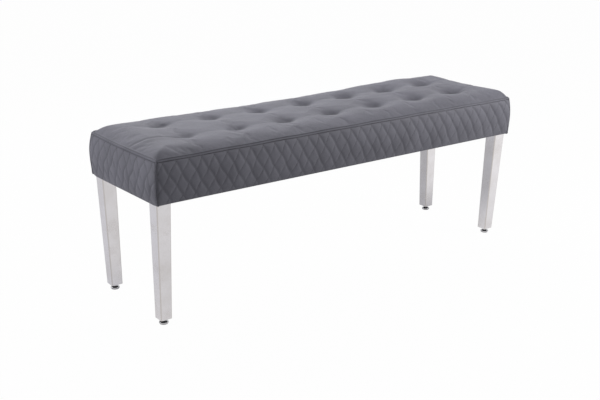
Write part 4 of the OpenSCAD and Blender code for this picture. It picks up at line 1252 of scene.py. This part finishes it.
foam, tree, shader, place = new_material("upholstery_foam", Roughness=0.95)
tint = add_group(tree, dye, place, Patches_per_metre=14, Tone=(0.80, 0.73, 0.46, 1),
                 Darker_tone=(0.70, 0.62, 0.36, 1))
tree.links.new(tint.outputs["Color"], shader.inputs["Base Color"])
pores = add_group(tree, grain, place, Cells_per_metre=1100, Creasing=0.1)
add_bump(tree, shader, pores.outputs["Height"], 0.0004, 0.9)
wadding, tree, shader, place = new_material("polyester_wadding", Roughness=1.0, Sheen_Weight=0.4)
tint = add_group(tree, dye, place, Patches_per_metre=30, Tone=(0.86, 0.86, 0.84, 1),
                 Darker_tone=(0.76, 0.76, 0.75, 1))
tree.links.new(tint.outputs["Color"], shader.inputs["Base Color"])
fibre = add_node(tree, "ShaderNodeTexNoise", Scale=420, Detail=6, Roughness=0.7, Distortion=2.0)
tree.links.new(place, fibre.inputs["Vector"])
add_bump(tree, shader, fibre.outputs["Fac"], 0.0012, 0.9)
foam_block = filling_block("cut_foam_block", "foam_core", 0.4088, 0.4616, foam,
                           easing=0.003, unevenness=0.0002, seed=21)
wadding_layer = filling_block("wadding_layer", "wadding_sheet", 0.4622, 0.4692, wadding,
                              easing=0.0034, unevenness=0.0006, seed=22)


# Tuft cords: three-strand waxed twine from the leather down through filling
# and deck, tied off in a knot under each washer.
twine, tree, shader, place = new_material("waxed_twine", Roughness=0.6)
tint = add_group(tree, dye, place, Patches_per_metre=240, Tone=(0.72, 0.70, 0.62, 1),
                 Darker_tone=(0.55, 0.52, 0.44, 1))
tree.links.new(tint.outputs["Color"], shader.inputs["Base Color"])
fibre = add_node(tree, "ShaderNodeTexNoise", Scale=2600, Detail=3)
tree.links.new(place, fibre.inputs["Vector"])
add_bump(tree, shader, fibre.outputs["Fac"], 0.0002, 0.6)
washer_foot, cord_top, cord_step = 0.3940, 0.4694, 0.0014
cord_radius, strand_radius, knot_radius = 0.0015, 0.00135, 0.0019
knot_drop, knot_length, knot_steps, cord_sides, strand_sides = 0.0016, 0.0030, 26, 12, 8


def tuft_knot(x, y, first):
    """The knot under a washer: two turns of the cord drawn up tight."""
    points, faces = [], []
    for i in range(knot_steps + 1):
        t = 2 * math.pi * i / knot_steps * 2
        lean = 0.0009 * math.sin(t / 2)
        centre = np.array([x + knot_radius * math.cos(t), y + knot_radius * math.sin(t),
                           washer_foot - knot_drop - knot_length * i / knot_steps + lean])
        along = np.array([-math.sin(t), math.cos(t), -0.3])
        along /= np.linalg.norm(along)
        away = np.array([math.cos(t), math.sin(t), 0.0])
        over = np.cross(along, away)
        for k in range(strand_sides):
            turn = 2 * math.pi * k / strand_sides
            offset = strand_radius * (away * math.cos(turn) + over * math.sin(turn))
            points.append((centre + offset).tolist())
    faces += [face[::-1] for face in grid_faces(strand_sides, knot_steps + 1, first, closed=True)]
    faces += [face[::-1] for face in end_caps(first, strand_sides, knot_steps + 1)]
    return points, faces


cord_points, cord_faces = [], []
for x in tuft_xs:
    for y in tuft_ys:
        first = len(cord_points)
        levels = np.arange(washer_foot, cord_top, cord_step)
        for z in levels:
            for k in range(cord_sides):
                turn = 2 * math.pi * k / cord_sides
                r = cord_radius * (0.86 + 0.14 * math.cos(3 * (turn - z * 900)))
                cord_points.append([x + r * math.cos(turn), y + r * math.sin(turn), z])
        cord_faces += grid_faces(cord_sides, len(levels), first, closed=True)
        cord_faces += end_caps(first, cord_sides, len(levels))
        points, faces = tuft_knot(x, y, len(cord_points))
        cord_points += points
        cord_faces += faces
cords = new_piece("twisted_tuft_cords", cord_points, cord_faces, twine)
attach(cords, "bench")
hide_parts("tuft_cords")


# Floor, backdrop and light: a plain white floor that runs into a white
# surround, a wide soft light overhead and weaker ones from left and front right.
def white_where_seen(tree, lit, shown, mirrored_share, output, mirrored_look=None):
    """A look for the camera, one for gloss and glass rays, and the lit one for the rest."""
    path = tree.nodes.new("ShaderNodeLightPath")
    mirrored = add_math(tree, "MAXIMUM", path.outputs["Is Glossy Ray"],
                        path.outputs["Is Transmission Ray"])
    white = add_node(tree, "ShaderNodeEmission" if output == "Surface" else "ShaderNodeBackground")
    white.inputs["Color"].default_value = (1, 1, 1, 1)
    white.inputs["Strength"].default_value = 1.0
    gloss = tree.nodes.new("ShaderNodeMixShader")
    tree.links.new(add_math(tree, "MULTIPLY", mirrored, mirrored_share), gloss.inputs["Fac"])
    tree.links.new(lit, gloss.inputs[1])
    tree.links.new(mirrored_look or white.outputs[0], gloss.inputs[2])
    whole = tree.nodes.new("ShaderNodeMixShader")
    tree.links.new(path.outputs["Is Camera Ray"], whole.inputs["Fac"])
    tree.links.new(gloss.outputs[0], whole.inputs[1])
    tree.links.new(shown or white.outputs[0], whole.inputs[2])
    return whole.outputs[0]


floor = new_piece("floor", [[-9, -7, 0], [9, -7, 0], [9, 12, 0], [-9, 12, 0]], [[0, 1, 2, 3]])
floor_material = bpy.data.materials.new("white_floor")
floor_material.use_nodes = True
tree = floor_material.node_tree
shader = tree.nodes["Principled BSDF"]
shader.inputs["Base Color"].default_value = (0.45, 0.45, 0.45, 1)
shader.inputs["Roughness"].default_value = 0.9
shader.inputs["Specular IOR Level"].default_value = 0.0
# The camera sees white paper that is a little darker in the bench's shadow
paper = add_node(tree, "ShaderNodeBsdfDiffuse")
paper.inputs["Color"].default_value = (0.72, 0.71, 0.69, 1)
glow = tree.nodes.new("ShaderNodeEmission")
glow.inputs["Strength"].default_value = 1.0
shown = tree.nodes.new("ShaderNodeMixShader")
shown.inputs["Fac"].default_value = 0.015
tree.links.new(glow.outputs[0], shown.inputs[1])
tree.links.new(paper.outputs[0], shown.inputs[2])
# In the steel's gloss the floor is a glowing sheet of painted reflection, with a painted shadow
# that makes it greyer behind the bench than in front of it
spot = add_node(tree, "ShaderNodeSeparateXYZ")
tree.links.new(tree.nodes.new("ShaderNodeTexCoord").outputs["Object"], spot.inputs[0])


def floor_tone(axis, start, end, first, last):
    """A ramp that goes from first to last between two lines on the floor, for the painted
    reflection.
    """
    node = add_node(tree, "ShaderNodeMapRange", From_Min=start, From_Max=end,
                    To_Min=first, To_Max=last)
    tree.links.new(spot.outputs[axis], node.inputs["Value"])
    return node.outputs[0]


# Painted reflection tones: brighter in front of the bench, and a painted shadow behind it
in_front = floor_tone("X", 0.2, 1.1, 0.86, 0.96)
behind = floor_tone("X", -0.75, -0.25, 0.71, 0.47)
backwards = floor_tone("Y", -0.15, 0.15, 0, 1)
greyer = add_math(tree, "SUBTRACT", behind, in_front)
tone = add_math(tree, "MULTIPLY_ADD", greyer, backwards, in_front)
# The painted reflection is tinted warmer in front and cooler behind
tint = add_node(tree, "ShaderNodeMix", data_type="RGBA")
tree.links.new(backwards, tint.inputs["Factor"])
tint.inputs["A"].default_value = (1.0, 0.975, 0.97, 1)
tint.inputs["B"].default_value = (1.0, 0.985, 1.025, 1)
painted_reflection_glow = tree.nodes.new("ShaderNodeEmission")
tree.links.new(tint.outputs["Result"], painted_reflection_glow.inputs["Color"])
tree.links.new(tone, painted_reflection_glow.inputs["Strength"])
painted_reflection = tree.nodes.new("ShaderNodeMixShader")
painted_reflection.inputs["Fac"].default_value = 0.75
tree.links.new(paper.outputs[0], painted_reflection.inputs[1])
tree.links.new(painted_reflection_glow.outputs[0], painted_reflection.inputs[2])
floor_look = white_where_seen(tree, shader.outputs[0], shown.outputs[0], 1.0, "Surface",
                              painted_reflection.outputs[0])
tree.links.new(floor_look, tree.nodes["Material Output"].inputs["Surface"])
floor.data.materials.append(floor_material)

world = bpy.data.worlds.new("white_surround")
scene.world = world
world.use_nodes = True
tree = world.node_tree
ambient = tree.nodes["Background"]
ambient.inputs["Color"].default_value = (0.93, 0.95, 1.0, 1)
ambient.inputs["Strength"].default_value = 0.14
surround_look = white_where_seen(tree, ambient.outputs[0], None, 0.85, "World")
tree.links.new(surround_look, tree.nodes["World Output"].inputs["Surface"])


def soft_light(name, place, aim, width, height, power, colour=(1, 1, 1)):
    """A rectangular soft light that looks at a point."""
    lamp = bpy.data.lights.new(name, "AREA")
    lamp.shape = "RECTANGLE"
    lamp.size, lamp.size_y = width, height
    lamp.energy = power
    lamp.color = colour
    light = bpy.data.objects.new(name, lamp)
    light.location = place
    light.rotation_euler = (Vector(aim) - Vector(place)).to_track_quat("-Z", "Y").to_euler()
    scene.collection.objects.link(light)


soft_light("overhead_light", (0.1, 1.7, 2.0), (0.05, 0, 0.45),
           width=2.5, height=1.2, power=34.6, colour=(0.98, 0.985, 1.03))
soft_light("left_light", (-2.4, 0.9, 0.55), (-0.5, 0, 0.42),
           width=1.2, height=0.8, power=18, colour=(0.98, 0.985, 1.02))
soft_light("right_front_light", (1.75, -1.45, 1.3), (0.3, -0.15, 0.40),
           width=0.9, height=0.9, power=31)

scene.view_settings.view_transform = "Standard"
